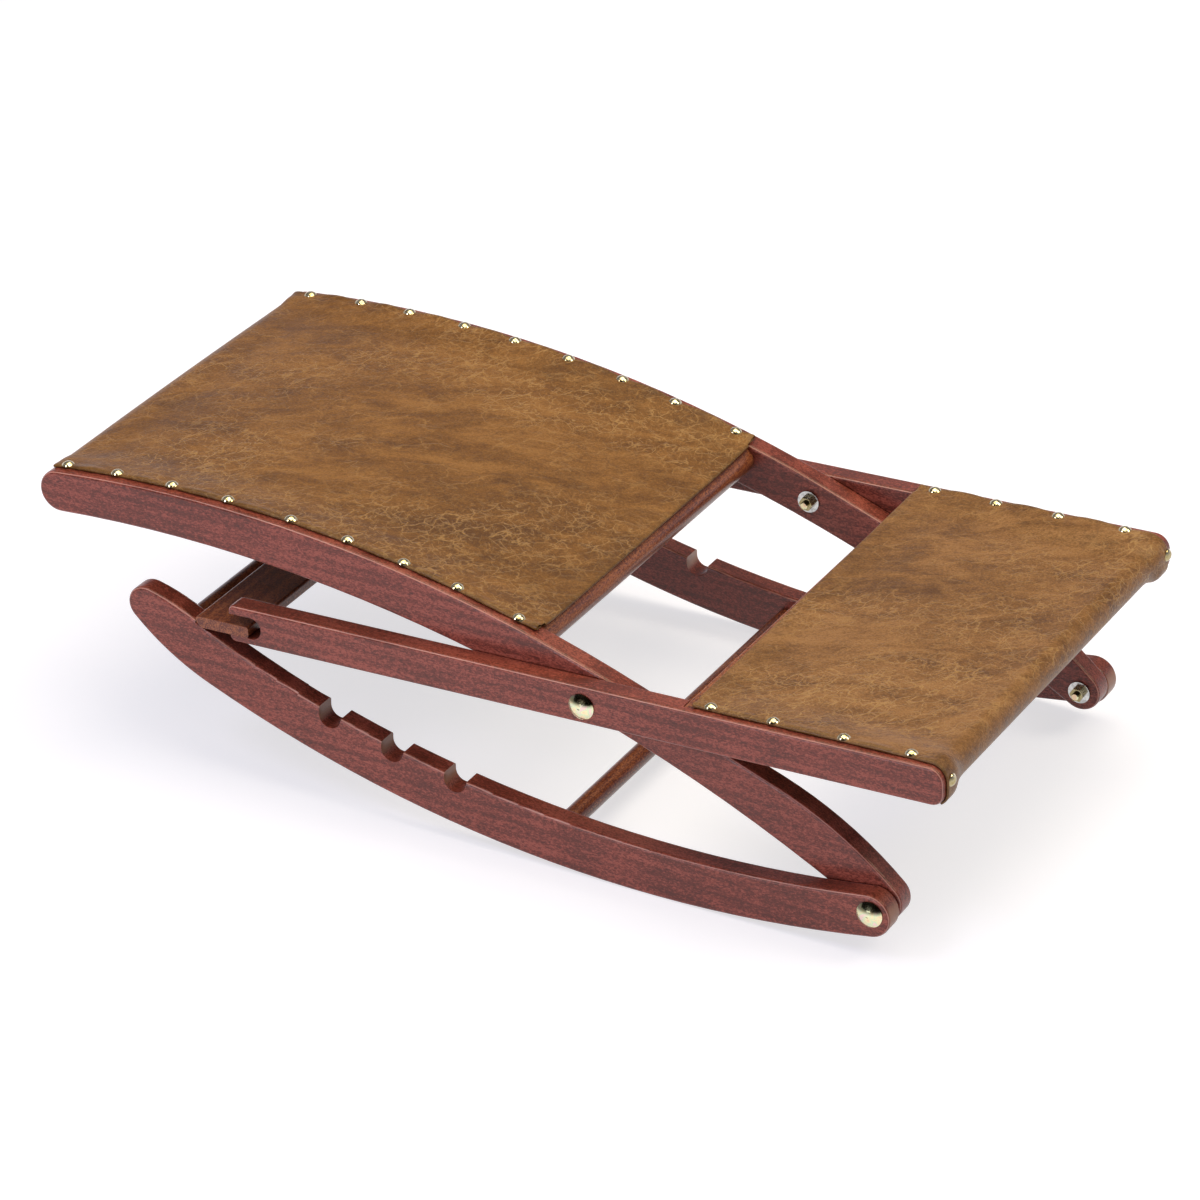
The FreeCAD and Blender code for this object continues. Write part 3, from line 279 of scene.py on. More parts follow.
@dataclass(frozen=True)
class StainedWood:
    """Beech with a red-brown stain under satin lacquer, rubbed thin on its arrises, which also carry a painted
    highlight. Colours are linear.
    """

    name: str
    grain: Grain
    notched: bool = False
    deep: Colour = (0.098, 0.020, 0.012)
    middle: Colour = (0.198, 0.038, 0.024)
    light: Colour = (0.330, 0.080, 0.054)
    fleck: Colour = (0.050, 0.009, 0.008)
    arris_wear_and_highlight: Colour = (0.640, 0.330, 0.270)
    foot_facing_tan: Colour = (0.300, 0.125, 0.060)

    def coordinates(self, graph: Graph, along: float, across: float, shift: float = 0.0) -> Socket:
        """Object coordinates drawn out along the grain.

        Args:
            graph: the material.
            along: repeats per metre along the grain.
            across: repeats per metre across it.
            shift: offset that keeps two patterns apart.

        Returns:
            The scaled coordinates.
        """
        scale = [across, across, across]
        scale[self.grain.value] = along
        return graph.stretched(shift, tuple(scale))

    def figure(self, graph: Graph, clouds: Socket) -> Socket:
        """Tone of the wood: soft clouds, long streaks, arched growth lines and a fine speckle.

        Args:
            graph: the material.
            clouds: the soft clouds.

        Returns:
            The tone, about 0.5.
        """
        streaks = graph.noise(self.coordinates(graph, along=8.0, across=210.0),
                              detail=4.0, rough=0.6, warp=0.5)
        speckle = graph.noise(self.coordinates(graph, along=430.0, across=820.0, shift=2.0), rough=0.8)
        arches = graph.add("TexWave", wave_type="RINGS", rings_direction="Y",
                           Vector=self.coordinates(graph, along=4.0, across=34.0, shift=0.21),
                           Scale=1.0, Distortion=5.0, Detail=2.0, Detail_Scale=0.6)
        tone = graph.math("MULTIPLY", streaks, 0.22)
        for part, share in ((speckle, 0.58), (clouds, 0.15), (arches.outputs["Fac"], 0.05)):
            tone = graph.math("ADD", tone, graph.math("MULTIPLY", part, share))
        return tone

    def rub(self, graph: Graph, clouds: Socket) -> Socket:
        """Where the rounded arrises have lost some stain and carry a painted highlight: between a side and an
        edge face.

        Args:
            graph: the material.
            clouds: soft clouds that break the wear up.

        Returns:
            1 on the middle of an arris, 0 on flat faces.
        """
        sideways = graph.part(graph.facing, 1)
        square = graph.math("MULTIPLY", sideways, sideways)
        rest = graph.math("SUBTRACT", square, graph.math("MULTIPLY", square, square))
        # The rest is 0.25 where the surface is halfway between the two faces, and less to either side.
        arris = graph.span(rest, 0.205, 0.25)
        return graph.math("MULTIPLY", arris, graph.span(clouds, 0.25, 0.6, 0.45, 1.0))

    def material(self) -> bpy.types.Material:
        """Build the stained wood.

        Returns:
            The material.
        """
        graph = Graph(self.name)
        clouds = graph.noise(graph.stretched(3.0), scale=19.0, detail=3.0)
        tone = self.figure(graph, clouds)
        colour = graph.ramp(tone, [(0.42, self.deep), (0.5, self.middle), (0.58, self.light)])
        dashes = graph.noise(self.coordinates(graph, along=330.0, across=1200.0, shift=5.0), detail=1.0)
        colour = graph.mix(graph.span(dashes, 0.57, 0.68, 0.0, 0.6), colour, self.fleck)
        if self.grain is Grain.ALONG:
            # Lighter arrises: partly worn stain, partly a painted highlight.
            colour = graph.mix(graph.math("MULTIPLY", self.rub(graph, clouds), 0.7), colour, self.arris_wear_and_highlight)
        if self.notched:
            # Faces that look to the foot end, such as one side of each notch, turn a lighter tan.
            foot_facing = graph.span(graph.part(graph.facing, 0), 0.72, 0.97)
            colour = graph.mix(graph.math("MULTIPLY", foot_facing, 0.8), colour, self.foot_facing_tan)
        pores = graph.noise(self.coordinates(graph, along=150.0, across=2200.0, shift=9.0))
        graph.relief(pores, depth=0.00010, strength=0.5)
        graph.relief(graph.noise(graph.stretched(7.0), scale=420.0), depth=0.0002, strength=0.35)
        feed(graph.surface, Base_Color=colour, Roughness=graph.span(clouds, 0.3, 0.7, 0.30, 0.42),
             Coat_Weight=0.25, Coat_Roughness=0.22, Specular_IOR_Level=0.35)
        return graph.material


@dataclass(frozen=True)
class TanLeather:
    """Waxed tan hide: streaky clouds of colour, pale crackled creases, a fine grain. Colours are linear."""

    name: str = "waxed tan leather"
    dark: Colour = (0.100, 0.040, 0.010)
    middle: Colour = (0.180, 0.074, 0.014)
    pale: Colour = (0.276, 0.124, 0.032)
    crease: Colour = (0.480, 0.275, 0.105)
    # Colour of the painted shade in the grain's valleys.
    painted_shade: Colour = (0.080, 0.028, 0.010)
    edge: Colour = (0.100, 0.052, 0.010)
    run: float = 28.0

    def along_hide(self, graph: Graph, stretch: float, shift: float, turn: float = 0.0) -> Socket:
        """Object coordinates drawn out along the hide's own direction.

        Args:
            graph: the material.
            stretch: how much longer a pattern is along it than across.
            shift: offset that keeps two patterns apart.
            turn: angle from that direction in degrees.

        Returns:
            The coordinates.
        """
        mapping = graph.add("Mapping", vector_type="TEXTURE", Vector=graph.place,
                            Location=(shift, -shift, shift), Scale=(stretch, 1.0, 1.0),
                            Rotation=(0.0, 0.0, math.radians(self.run + turn)))
        return mapping.outputs["Vector"]

    def creases(self, graph: Graph) -> Socket:
        """Pale lines: three nets that are strong in patches and faint elsewhere, and a coarse even one.

        Args:
            graph: the material.

        Returns:
            1 on a strong line, 0 between lines.
        """
        clouds = graph.noise(self.along_hide(graph, stretch=1.6, shift=3.1), scale=8.5, detail=3.0)
        patches = graph.span(clouds, 0.42, 0.60, 0.22, 1.0)
        coarse, middle, other, fine = (
            graph.web(self.along_hide(graph, stretch, shift, turn), scale, width, sway, gaps)
            for stretch, shift, turn, scale, width, sway, gaps in (
                (1.5, 0.7, 0.0, 48.0, 0.034, 0.016, 0.50),
                (2.1, 1.3, 35.0, 105.0, 0.060, 0.008, 0.44),
                (2.2, 2.2, -50.0, 120.0, 0.065, 0.007, 0.50),
                (1.8, 4.1, 80.0, 230.0, 0.110, 0.004, 0.48)))
        net = graph.math("MAXIMUM", middle, graph.math("MULTIPLY", other, 0.8))
        net = graph.math("MAXIMUM", net, graph.math("MULTIPLY", fine, 0.5))
        net = graph.math("MULTIPLY", net, patches)
        return graph.math("MAXIMUM", net, graph.math("MULTIPLY", coarse, 0.5))

    def material(self) -> bpy.types.Material:
        """Build the leather.

        Returns:
            The material.
        """
        graph = Graph(self.name)
        streaks = graph.noise(self.along_hide(graph, stretch=2.6, shift=1.9),
                              scale=42.0, detail=6.0, rough=0.72, warp=0.8)
        broad = graph.noise(self.along_hide(graph, stretch=1.5, shift=5.3), scale=7.0)
        grit = graph.noise(self.along_hide(graph, stretch=1.5, shift=2.7), scale=760.0, rough=0.8)
        mottle = graph.math("MULTIPLY", streaks, 0.46)
        for part, share in ((broad, 0.18), (grit, 0.36)):
            mottle = graph.math("ADD", mottle, graph.math("MULTIPLY", part, share))
        colour = graph.ramp(mottle, [(0.41, self.dark), (0.50, self.middle), (0.59, self.pale)])
        lines = self.creases(graph)
        colour = graph.mix(graph.math("MULTIPLY", lines, 0.55), colour, self.crease)
        # Painted shade: a darker net of lines in the grain's valleys.
        painted_valley_shade = graph.web(self.along_hide(graph, stretch=2.0, shift=6.4, turn=20.0),
                            scale=150.0, width=0.10, sway=0.006, gaps=0.50)
        colour = graph.mix(graph.math("MULTIPLY", painted_valley_shade, 0.28), colour, self.painted_shade)
        rub = graph.add("Attribute", attribute_name="rub").outputs["Fac"]
        colour = graph.mix(graph.math("MULTIPLY", rub, 0.5), colour, self.edge)
        pebbles = graph.add("TexVoronoi", feature="SMOOTH_F1", Vector=graph.place, Scale=700.0)
        dents = graph.noise(self.along_hide(graph, stretch=1.8, shift=8.8), scale=90.0, detail=3.0)
        for height, depth, strength in ((pebbles.outputs["Distance"], 0.0005, 0.35), (lines, 0.0004, 0.6),
                                        (dents, 0.0011, 0.35)):
            graph.relief(height, depth, strength)
        feed(graph.surface, Base_Color=colour, Roughness=graph.span(streaks, 0.3, 0.7, 0.36, 0.48),
             Coat_Weight=0.05, Coat_Roughness=0.30, Specular_IOR_Level=0.30)
        return graph.material


@dataclass(frozen=True)
class Plating:
    """Bright metal with a mottled plated colour. Colours are linear.

    A painted shade, a darker tint that stands in for the dark surroundings that the metal mirrors, comes in as
    the upward part of the surface's normal goes from its first limit to its second:
    on what faces up if that rises, and on the sides and below if it falls.
    """

    name: str
    tints: tuple[Colour, ...]
    painted_shade: Colour
    spots: float = 260.0
    roughness: Pair = (0.10, 0.24)
    painted_shade_from: float = 0.0
    painted_shade_to: float = 0.6
    painted_shade_share: float = 0.8

    def material(self) -> bpy.types.Material:
        """Build the plated metal.

        Returns:
            The material.
        """
        graph = Graph(self.name)
        mottle = graph.noise(graph.stretched(2.0), scale=self.spots, warp=0.5)
        last = len(self.tints) - 1
        start, length = 0.36, 0.28
        stops = [(start + length * place / last, tint) for place, tint in enumerate(self.tints)]
        # Painted shade: the darker tint where the surface faces one way stands in for the dark surroundings
        # that the metal mirrors.
        up = graph.span(graph.part(graph.facing, 2), self.painted_shade_from, self.painted_shade_to, 0.0, self.painted_shade_share)
        colour = graph.mix(up, graph.ramp(mottle, stops), self.painted_shade)
        scuffs = graph.noise(graph.stretched(6.0), scale=1100.0)
        graph.relief(scuffs, depth=0.00003, strength=0.4)
        feed(graph.surface, Base_Color=colour, Roughness=graph.span(scuffs, 0.3, 0.7, *self.roughness),
             Metallic=1.0)
        return graph.material


# Its painted shade darkens the sides of the nail domes and of the nuts.
BRASS = Plating("polished brass", ((0.50, 0.40, 0.20), (0.72, 0.62, 0.40), (0.86, 0.80, 0.62)),
                painted_shade=(0.30, 0.25, 0.11), spots=520.0, painted_shade_from=0.75, painted_shade_to=0.35, painted_shade_share=0.75)
# Its painted shade darkens the upper side of the bolt heads.
YELLOW_ZINC = Plating("yellow zinc plating",
                      ((0.84, 0.60, 0.40), (0.86, 0.78, 0.48), (0.68, 0.78, 0.52), (0.88, 0.64, 0.58)),
                      painted_shade=(0.050, 0.043, 0.015), spots=150.0, painted_shade_from=0.06, painted_shade_to=0.30,
                      painted_shade_share=0.86)
# Its painted shade darkens the washers where they face up.
BRIGHT_ZINC = Plating("bright zinc plating", ((0.50, 0.50, 0.49), (0.66, 0.66, 0.65), (0.76, 0.76, 0.74)),
                      painted_shade=(0.30, 0.30, 0.29))


class Finishes:
    """Every finish of the stool, built once."""

    def __init__(self) -> None:
        """Build the materials."""
        self.rails = StainedWood("stained beech rails", Grain.ALONG).material()
        self.rockers = StainedWood("stained beech rockers", Grain.ALONG, notched=True).material()
        self.bars = StainedWood("stained beech bars", Grain.ACROSS, middle=(0.215, 0.058, 0.022),
                                light=(0.360, 0.120, 0.046)).material()
        self.leather = TanLeather().material()
        # The foot panel's leather is a paler copy of the seat's: painted sheen for the light that the foot end
        # catches.
        self.sheen_pale_leather = TanLeather("paler waxed leather", middle=(0.205, 0.090, 0.024),
                                       pale=(0.310, 0.150, 0.054)).material()
        self.brass = BRASS.material()
        self.yellow_zinc = YELLOW_ZINC.material()
        self.bright_zinc = BRIGHT_ZINC.material()


# ---- mesh helpers

def dress(material: bpy.types.Material, *names: str) -> None:
    """Give frame nodes a finish in the place of their plain one.

    Args:
        material: the finish.
        names: nodes that take it.
    """
    for name in names:
        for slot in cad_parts[name].material_slots:
            slot.material = material
        LOG.info("%s: %s", name, material.name)


def ease(value: float) -> float:
    """Smooth step from 0 to 1 of a value, kept within them."""
    value = min(max(value, 0.0), 1.0)
    return value * value * (3.0 - 2.0 * value)


# ---- leather panels

# Points of a row of nails that are further apart along X belong to two nails.
NAIL_SPACE = 0.005
# Steps of a half turn of leather.
FOLD_STEPS = 6
# How rubbed the tuck, the underside of the fold, the turned end and the line before it are.
TUCK_RUB, FOLD_RUB, TURNED_RUB, END_RUB = 0.6, 0.9, 0.7, 0.3
# How much less rubbed the upper side of the fold is.
FOLD_RUB_LOSS = 0.3
# Distances in from the fold where the sheet has points, with how rubbed it is there.
HEM_POINTS = ((0.0018, 0.25), (0.0036, 0.08), (0.0056, 0.0))
# Distances in from the tuck's inner edge where it has points, up to the last one in the middle.
FIELD_POINTS = (0.0025, 0.005, 0.0075, 0.011, 0.016, 0.023, 0.033, 0.048, 0.068, 0.094, 0.125)
# Lengths over which the fold closes, a swelling rises and falls, and the sheet drops off the tuck.
FOLD_CLOSES, SWELL_RISES, SWELL_FALLS, TUCK_DROPS = 0.0065, 0.003, 0.03, 0.007
# Lengths from the turned end over which the hems' flare ends and the drop off the tuck starts.
FLARE_ENDS, DROP_STARTS = 0.016, 0.022
# Points of the path over which the roll starts, the turned end's skew ends and the slip starts.
ROLL_STEPS, SKEW_STEPS, SLIP_STEPS = 10, 24, 40


@dataclass
class Path:
    """Profile of a sheet in the XZ plane, as points and outward normals."""

    points: list[Vector] = field(default_factory=list)
    normals: list[Vector] = field(default_factory=list)

    def bend(self, centre: Pair, radius: Callable[[float], float], start: float, end: float,
             count: int) -> "Path":
        """Add a bend with its normals away from a centre.

        Args:
            centre: X and Z.
            radius: distance from it at an angle.
            start: angle from +Z towards +X, in degrees.
            end: the same at its end.
            count: points to add.

        Returns:
            This path.
        """
        for step in range(count):
            angle = start + (end - start) * (step + 0.5) / count
            normal = Vector((math.sin(math.radians(angle)), 0.0, math.cos(math.radians(angle))))
            self.points.append(Vector((centre[0], 0.0, centre[1])) + normal * radius(angle))
            self.normals.append(normal)
        return self

    def arc(self, centre: Pair, radius: float, start: float, end: float, count: int) -> "Path":
        """Add an arc; the arguments and the result are those of bend."""
        return self.bend(centre, lambda angle: radius, start, end, count)

    def line(self, start: Pair, end: Pair, count: int) -> "Path":
        """Add a straight run with its normals on the left of its direction.

        Args:
            start: X and Z.
            end: X and Z.
            count: points to add.

        Returns:
            This path.
        """
        first, last = Vector((start[0], 0.0, start[1])), Vector((end[0], 0.0, end[1]))
        along = (last - first).normalized()
        for step in range(count):
            self.points.append(first.lerp(last, (step + 0.5) / count))
            self.normals.append(Vector((-along.z, 0.0, along.x)))
        return self

    def sink(self, depth: Callable[[float], float]) -> "Path":
        """Move the points in against their normals.

        Args:
            depth: how far, at a share of the path's points.

        Returns:
            This path.
        """
        last = len(self.points) - 1
        for step, normal in enumerate(self.normals):
            self.points[step] = self.points[step] - normal * depth(step / last)
        return self


def nail_places(node: str) -> list[float]:
    """X of each nail of a node, from the seat end on.

    Args:
        node: a row of nails.

    Returns:
        The middle of each nail along X.
    """
    across = sorted(vertex.co.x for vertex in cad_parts[node].data.vertices)
    groups = [[across[0]]]
    for x in across:
        if x - groups[-1][-1] > NAIL_SPACE:
            groups.append([])
        groups[-1].append(x)
    return [(group[0] + group[-1]) / 2 for group in groups]


@dataclass
class Station:
    """One point of a panel's half cross-section: distance from the middle, height and how rubbed it is."""

    distance: float
    height: float
    rub: float = 0.0


@dataclass
class LeatherPanel:
    """Sheet of leather over two rails: side hems and one end turned under, the other end rolled down.

    Attributes:
        node: the plain solid that it replaces.
        body: what it moves with.
        half: half its width, at the hems' outer folds.
        rail_inner: where the rails' inner faces are.
        nails: X of the nails along the front and the rear side.
        on_rails: its path on the rails, from the turned end on.
        between: its path halfway between them, with as many points.
        hemmed: points over which it reaches the rails; past them only the part between the rails goes on.
        roll_from: point from which it rolls down.
        slack: how far from the rails it is level with its middle, before the roll and in it.
        bow: how far the roll stands out in its middle.
        turned_at: how far the turned end stands past its path at the front and at the rear.
        flare: how far the side hems open at the turned end.
        leather: thickness of one layer.
        tuck: width of the side layer that is turned under.
        turned: width of the end layer that is turned under.
        turned_radius: radius of its fold.
        gap: clearance under the hem.
        pull: how far a nail draws the edge in.
        billow: how much the fold opens halfway between two nails.
        swell: how much the sheet stands up there.
        slip: how far the rolled end stands to the front.
    """

    node: str
    body: Body
    half: float
    rail_inner: float
    nails: tuple[list[float], list[float]]
    on_rails: Path
    between: Path
    hemmed: int
    roll_from: int
    slack: Pair
    bow: float = 0.0
    turned_at: Pair = (0.0, 0.0)
    flare: float = 0.0014
    leather: float = 0.001
    tuck: float = 0.0105
    turned: float = 0.008
    turned_radius: float = 0.00052
    gap: float = 0.0001
    pull: float = 0.0010
    billow: float = 0.0008
    swell: float = 0.0005
    slip: float = 0.0

    def fullness(self, x: float, side: int) -> float:
        """How open the hem's fold is: 0 at a nail and 1 halfway between two.

        Args:
            x: place along the stool.
            side: 0 for the front, 1 for the rear.

        Returns:
            The share.
        """
        nails = self.nails[side]
        nearest = min(abs(x - nail) for nail in nails)
        spacing = abs(nails[-1] - nails[0]) / (len(nails) - 1)
        return ease(2.0 * nearest / spacing)

    def rolled(self, step: int) -> float:
        """Share of the change from the flat part to the roll at one point of the path."""
        return ease((step - self.roll_from) / ROLL_STEPS)

    def section(self, step: int, side: int) -> list[Station]:
        """Half of the cross-section at one point, from the tuck's inner edge out, round the fold and in.

        Args:
            step: point of the path.
            side: 0 for the front, 1 for the rear.

        Returns:
            The stations.
        """
        x = self.on_rails.points[step].x
        full = self.fullness(x, side)
        from_end = abs(x - self.on_rails.points[0].x)
        open_by = full * self.billow + self.flare * ease(1.0 - from_end / FLARE_ENDS)
        fold = self.leather / 2 + open_by
        low = self.gap + self.leather / 2
        axis = self.half - self.pull * (1.0 - full) - fold - self.leather / 2
        inner = self.half - self.tuck
        rows = [Station(inner + (axis - inner) * share, low, TUCK_RUB) for share in (0.0, 0.33, 0.66)]
        for turn in range(FOLD_STEPS + 1):
            angle = math.pi * (turn / FOLD_STEPS - 0.5)
            rows.append(Station(axis + fold * math.cos(angle), low + fold + fold * math.sin(angle),
                                FOLD_RUB - FOLD_RUB_LOSS * turn / FOLD_STEPS))
        swell = full * self.swell
        flat = low + self.leather
        for distance, rub in HEM_POINTS:
            height = flat + 2 * open_by * (1.0 - ease(distance / FOLD_CLOSES))
            rows.append(Station(axis - distance, height + swell * ease(distance / SWELL_RISES), rub))
        depth = (flat - low) * ease(from_end / DROP_STARTS) * (1.0 - self.rolled(step))
        for reach in (*FIELD_POINTS, inner):
            settled = ease(reach / SWELL_FALLS)
            sunk = flat - depth * (0.6 * ease(reach / TUCK_DROPS) + 0.4 * settled)
            rows.append(Station(inner - reach, sunk + swell * (1.0 - settled)))
        return rows

    def place(self, step: int, distance: float, height: float, side: int) -> Vector:
        """Point of the sheet at one point of its path.

        Args:
            step: point of the path.
            distance: how far from the stool's middle.
            height: over the path.
            side: 0 for the front, 1 for the rear.

        Returns:
            The point.
        """
        rolled = self.rolled(step)
        reach = self.slack[0] + (self.slack[1] - self.slack[0]) * rolled
        share = ease((self.rail_inner - self.leather - distance) / reach)
        rail = self.on_rails.points[step] + self.on_rails.normals[step] * height
        out = self.bow * rolled * (1.0 - (distance / self.rail_inner) ** 2)
        middle = self.between.points[step] + self.between.normals[step] * (height + out)
        point = rail.lerp(middle, share)
        across = distance / self.half
        skew = self.turned_at[side] * across + sum(self.turned_at) / 2 * (1.0 - across)
        past = skew * (1.0 - ease(step / SKEW_STEPS))
        along = (self.on_rails.points[0] - self.on_rails.points[1]).normalized()
        point += along * past
        slip = self.slip * ease((step - self.roll_from + SLIP_STEPS / 2) / SLIP_STEPS)
        point.y = (distance if side else -distance) - slip
        return point

    def turned_end(self, mesh: bmesh.types.BMesh, rub: bmesh.types.BMLayerItem, first: list[Vert],
                   second: list[Vert]) -> None:
        """Turn the sheet's first end down and under, between its side hems.

        Args:
            mesh: the sheet's mesh.
            rub: the layer of its points that tells how rubbed they are.
            first: its first row of points.
            second: the next row.
        """
        limit = self.half - self.tuck - self.leather
        columns = [number for number, vert in enumerate(first) if abs(vert.co.y) < limit]
        radius = self.turned_radius
        angles = [math.pi * turn / FOLD_STEPS for turn in range(1, FOLD_STEPS + 1)]
        offsets = [(radius * math.sin(angle), radius * (math.cos(angle) - 1.0)) for angle in angles]
        offsets += [(-self.turned * share, -2.0 * radius) for share in (0.2, 0.6, 1.0)]
        rows = [[first[number] for number in columns]]
        for out_by, up_by in offsets:
            row = []
            for number in columns:
                out = (first[number].co - second[number].co).normalized()
                up = out.cross(Vector((0.0, 1.0, 0.0))).normalized()
                up = up if up.z > 0 else -up
                vert = mesh.verts.new(first[number].co + out * out_by + up * up_by)
                vert[rub] = TURNED_RUB
                row.append(vert)
            rows.append(row)
        for vert in rows[0]:
            vert[rub] = END_RUB
        join_rows(mesh, rows)

    def build(self, hide: bpy.types.Material) -> bpy.types.Object:
        """Make the panel, dress it and put it on its body.

        Args:
            hide: its leather.

        Returns:
            The panel.
        """
        mesh = bmesh.new()
        rub = mesh.verts.layers.float.new("rub")
        grid = []
        for step in range(len(self.on_rails.points)):
            row = []
            for side in (0, 1):
                stations = self.section(min(step, self.hemmed - 1), side)
                for station in stations if side == 0 else stations[-2::-1]:
                    vert = mesh.verts.new(self.place(step, station.distance, station.height, side))
                    vert[rub] = station.rub
                    row.append(vert)
            grid.append(row)
        join_rows(mesh, grid[:self.hemmed])
        edge = self.rail_inner - self.leather
        inside = [number for number, vert in enumerate(grid[0]) if abs(vert.co.y) < edge]
        join_rows(mesh, [[row[number] for number in inside] for row in grid[self.hemmed - 1:]])
        loose = [vert for vert in mesh.verts if not vert.link_faces]
        bmesh.ops.delete(mesh, geom=loose, context="VERTS")
        self.turned_end(mesh, rub, grid[0], grid[1])
        bmesh.ops.recalc_face_normals(mesh, faces=mesh.faces)
        data = bpy.data.meshes.new(self.node + "_sheet")
        mesh.to_mesh(data)
        mesh.free()
        panel = bpy.data.objects.new(self.node + "_sheet", data)
        bpy.context.scene.collection.objects.link(panel)
        data.materials.append(hide)
        data.shade_smooth()
        wall = panel.modifiers.new("Thickness", "SOLIDIFY")
        wall.thickness = self.leather
        wall.offset = 0.0
        wall.use_even_offset = True
        smooth = panel.modifiers.new("Smooth", "SUBSURF")
        smooth.levels = smooth.render_levels = 1
        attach(panel, self.body.value)
        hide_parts(self.node)
        return panel

    def flat_size(self, panel: bpy.types.Object) -> Pair:
        """Width and length of the sheet before it is folded, from its mid-layer."""
        area = sum(polygon.area for polygon in panel.data.polygons)
        width = 2 * (self.half + self.tuck)
        LOG.info("%s: %.3f by %.3f m flat", self.node, width, area / width)
        return width, area / width


def join_rows(mesh: bmesh.types.BMesh, rows: list[list[Vert]]) -> None:
    """Lay faces between rows of points.

    Args:
        mesh: the mesh.
        rows: its rows, all of one length.
    """
    for first, second in zip(rows, rows[1:]):
        for column in range(len(first) - 1):
            mesh.faces.new((first[column], first[column + 1], second[column + 1], second[column]))


# ---- sub-assemblies

class RockerBase:
    """Two rockers, their stretchers and the pivot bolts."""

    def build(self, finishes: Finishes) -> None:
        """Dress the base.

        Args:
            finishes: the stool's materials.
        """
        dress(finishes.rockers, "rocker_front", "rocker_rear")
        dress(finishes.bars, "stretcher_middle", "stretcher_head")
        dress(finishes.yellow_zinc, "rocker_bolts")
        dress(finishes.brass, "rocker_nuts")
        dress(finishes.bright_zinc, "rocker_washers")


@dataclass
class SeatFrame:
    """Two crowned rails, their bars and the seat leather with its nails.

    Attributes:
        crown: X and Z of the centre of the rails' crown.
        crown_radius: radius of the crown.
        nose: X and Z of the centre of the rails' rounded head end.
        nose_radius: its radius.
        head_bar: X and Z of the bar that the leather rolls round.
        bar_radius: its radius.
        leather_half: half the leather's width.
        rail_inner: where the rails' inner faces are.
        foot_angle: angle of the leather's foot end about the crown's centre.
        foot_past: how far its foot end stands past that angle at the front and at the rear.
        head_angle: angle about the nose where the leather ends on the rails.
        leave_angle: angle about the nose where it leaves the nose's round for the bar.
        meet_angle: angle where it meets the bar.
        wrap_angle: angle where it ends.
        proud: how far the leather stands out between the rails' noses.
        bow: how much more it stands out in the middle.
        sag: how far it hangs in halfway between the rails.
        sag_fade: share of the crown over which the sag ends at the nose.
        proud_span: share of the crown where it starts to stand proud, and over which it does so.
    """

    crown: Pair = (-0.2539, -0.86982)
    crown_radius: float = 1.089
    nose: Pair = (-0.3698, 0.1961)
    nose_radius: float = 0.0168
    head_bar: Pair = (-0.3704, 0.1987)
    bar_radius: float = 0.011
    leather_half: float = 0.1772
    rail_inner: float = 0.166
    foot_angle: float = 15.52
    foot_past: Pair = (0.0045, 0.0028)
    head_angle: float = -29.0
    leave_angle: float = -52.0
    meet_angle: float = -165.0
    wrap_angle: float = -205.0
    proud: float = -0.0018
    bow: float = 0.0010
    sag: float = 0.0022
    sag_fade: float = 0.22
    proud_span: Pair = (0.8, 0.2)

    def roll(self, angle: float) -> float:
        """Distance of the leather's inner side from the nose's centre, from the nose's round to the bar."""
        across = (self.head_bar[0] - self.nose[0], self.head_bar[1] - self.nose[1])
        turn = math.radians(angle)
        ahead = across[0] * math.sin(turn) + across[1] * math.cos(turn)
        aside = across[0] * math.cos(turn) - across[1] * math.sin(turn)
        on_bar = ahead + math.sqrt(self.bar_radius ** 2 - aside ** 2)
        share = ease((angle - self.leave_angle) / (self.meet_angle - self.leave_angle))
        return self.nose_radius + self.proud + (on_bar - self.nose_radius - self.proud) * share

    def hollow(self, share: float) -> float:
        """Depth of the leather halfway between the rails: its sag, less what it stands proud at the nose.

        Args:
            share: place along the crown, from the foot end on.

        Returns:
            The depth.
        """
        start, length = self.proud_span
        return self.sag * ease((1.0 - share) / self.sag_fade) - self.proud * ease((share - start) / length)

    def build(self, finishes: Finishes) -> None:
        """Dress the frame and make its leather.

        Args:
            finishes: the stool's materials.
        """
        dress(finishes.rails, "seat_rail_front", "seat_rail_rear")
        dress(finishes.bars, "seat_bar_head", "seat_bar_foot")
        dress(finishes.brass, "seat_nails_front", "seat_nails_rear")
        # Points along the crown, over the nose and under it.
        flat, over, under = 144, 8, 36
        nose_angle = math.degrees(math.atan2(self.nose[0] - self.crown[0], self.nose[1] - self.crown[1]))
        on_rails = Path().arc(self.crown, self.crown_radius, self.foot_angle, nose_angle, flat)
        on_rails.arc(self.nose, self.nose_radius, nose_angle, self.head_angle, over)
        on_rails.bend(self.nose, self.roll, self.head_angle, self.wrap_angle, under)
        between = Path().arc(self.crown, self.crown_radius, self.foot_angle, nose_angle, flat)
        between.sink(self.hollow)
        between.arc(self.nose, self.nose_radius + self.proud, nose_angle, self.head_angle, over)
        between.bend(self.nose, self.roll, self.head_angle, self.wrap_angle, under)
        nails = (nail_places("seat_nails_front"), nail_places("seat_nails_rear"))
        panel = LeatherPanel(
            "seat_leather", Body.SEAT, self.leather_half, self.rail_inner, nails, on_rails, between,
            hemmed=flat + over, roll_from=flat - 10, slack=(0.036, 0.020), bow=self.bow,
            turned_at=self.foot_past, turned_radius=0.0011, flare=0.0015)
        sheet = panel.build(finishes.leather)
        panel.flat_size(sheet)


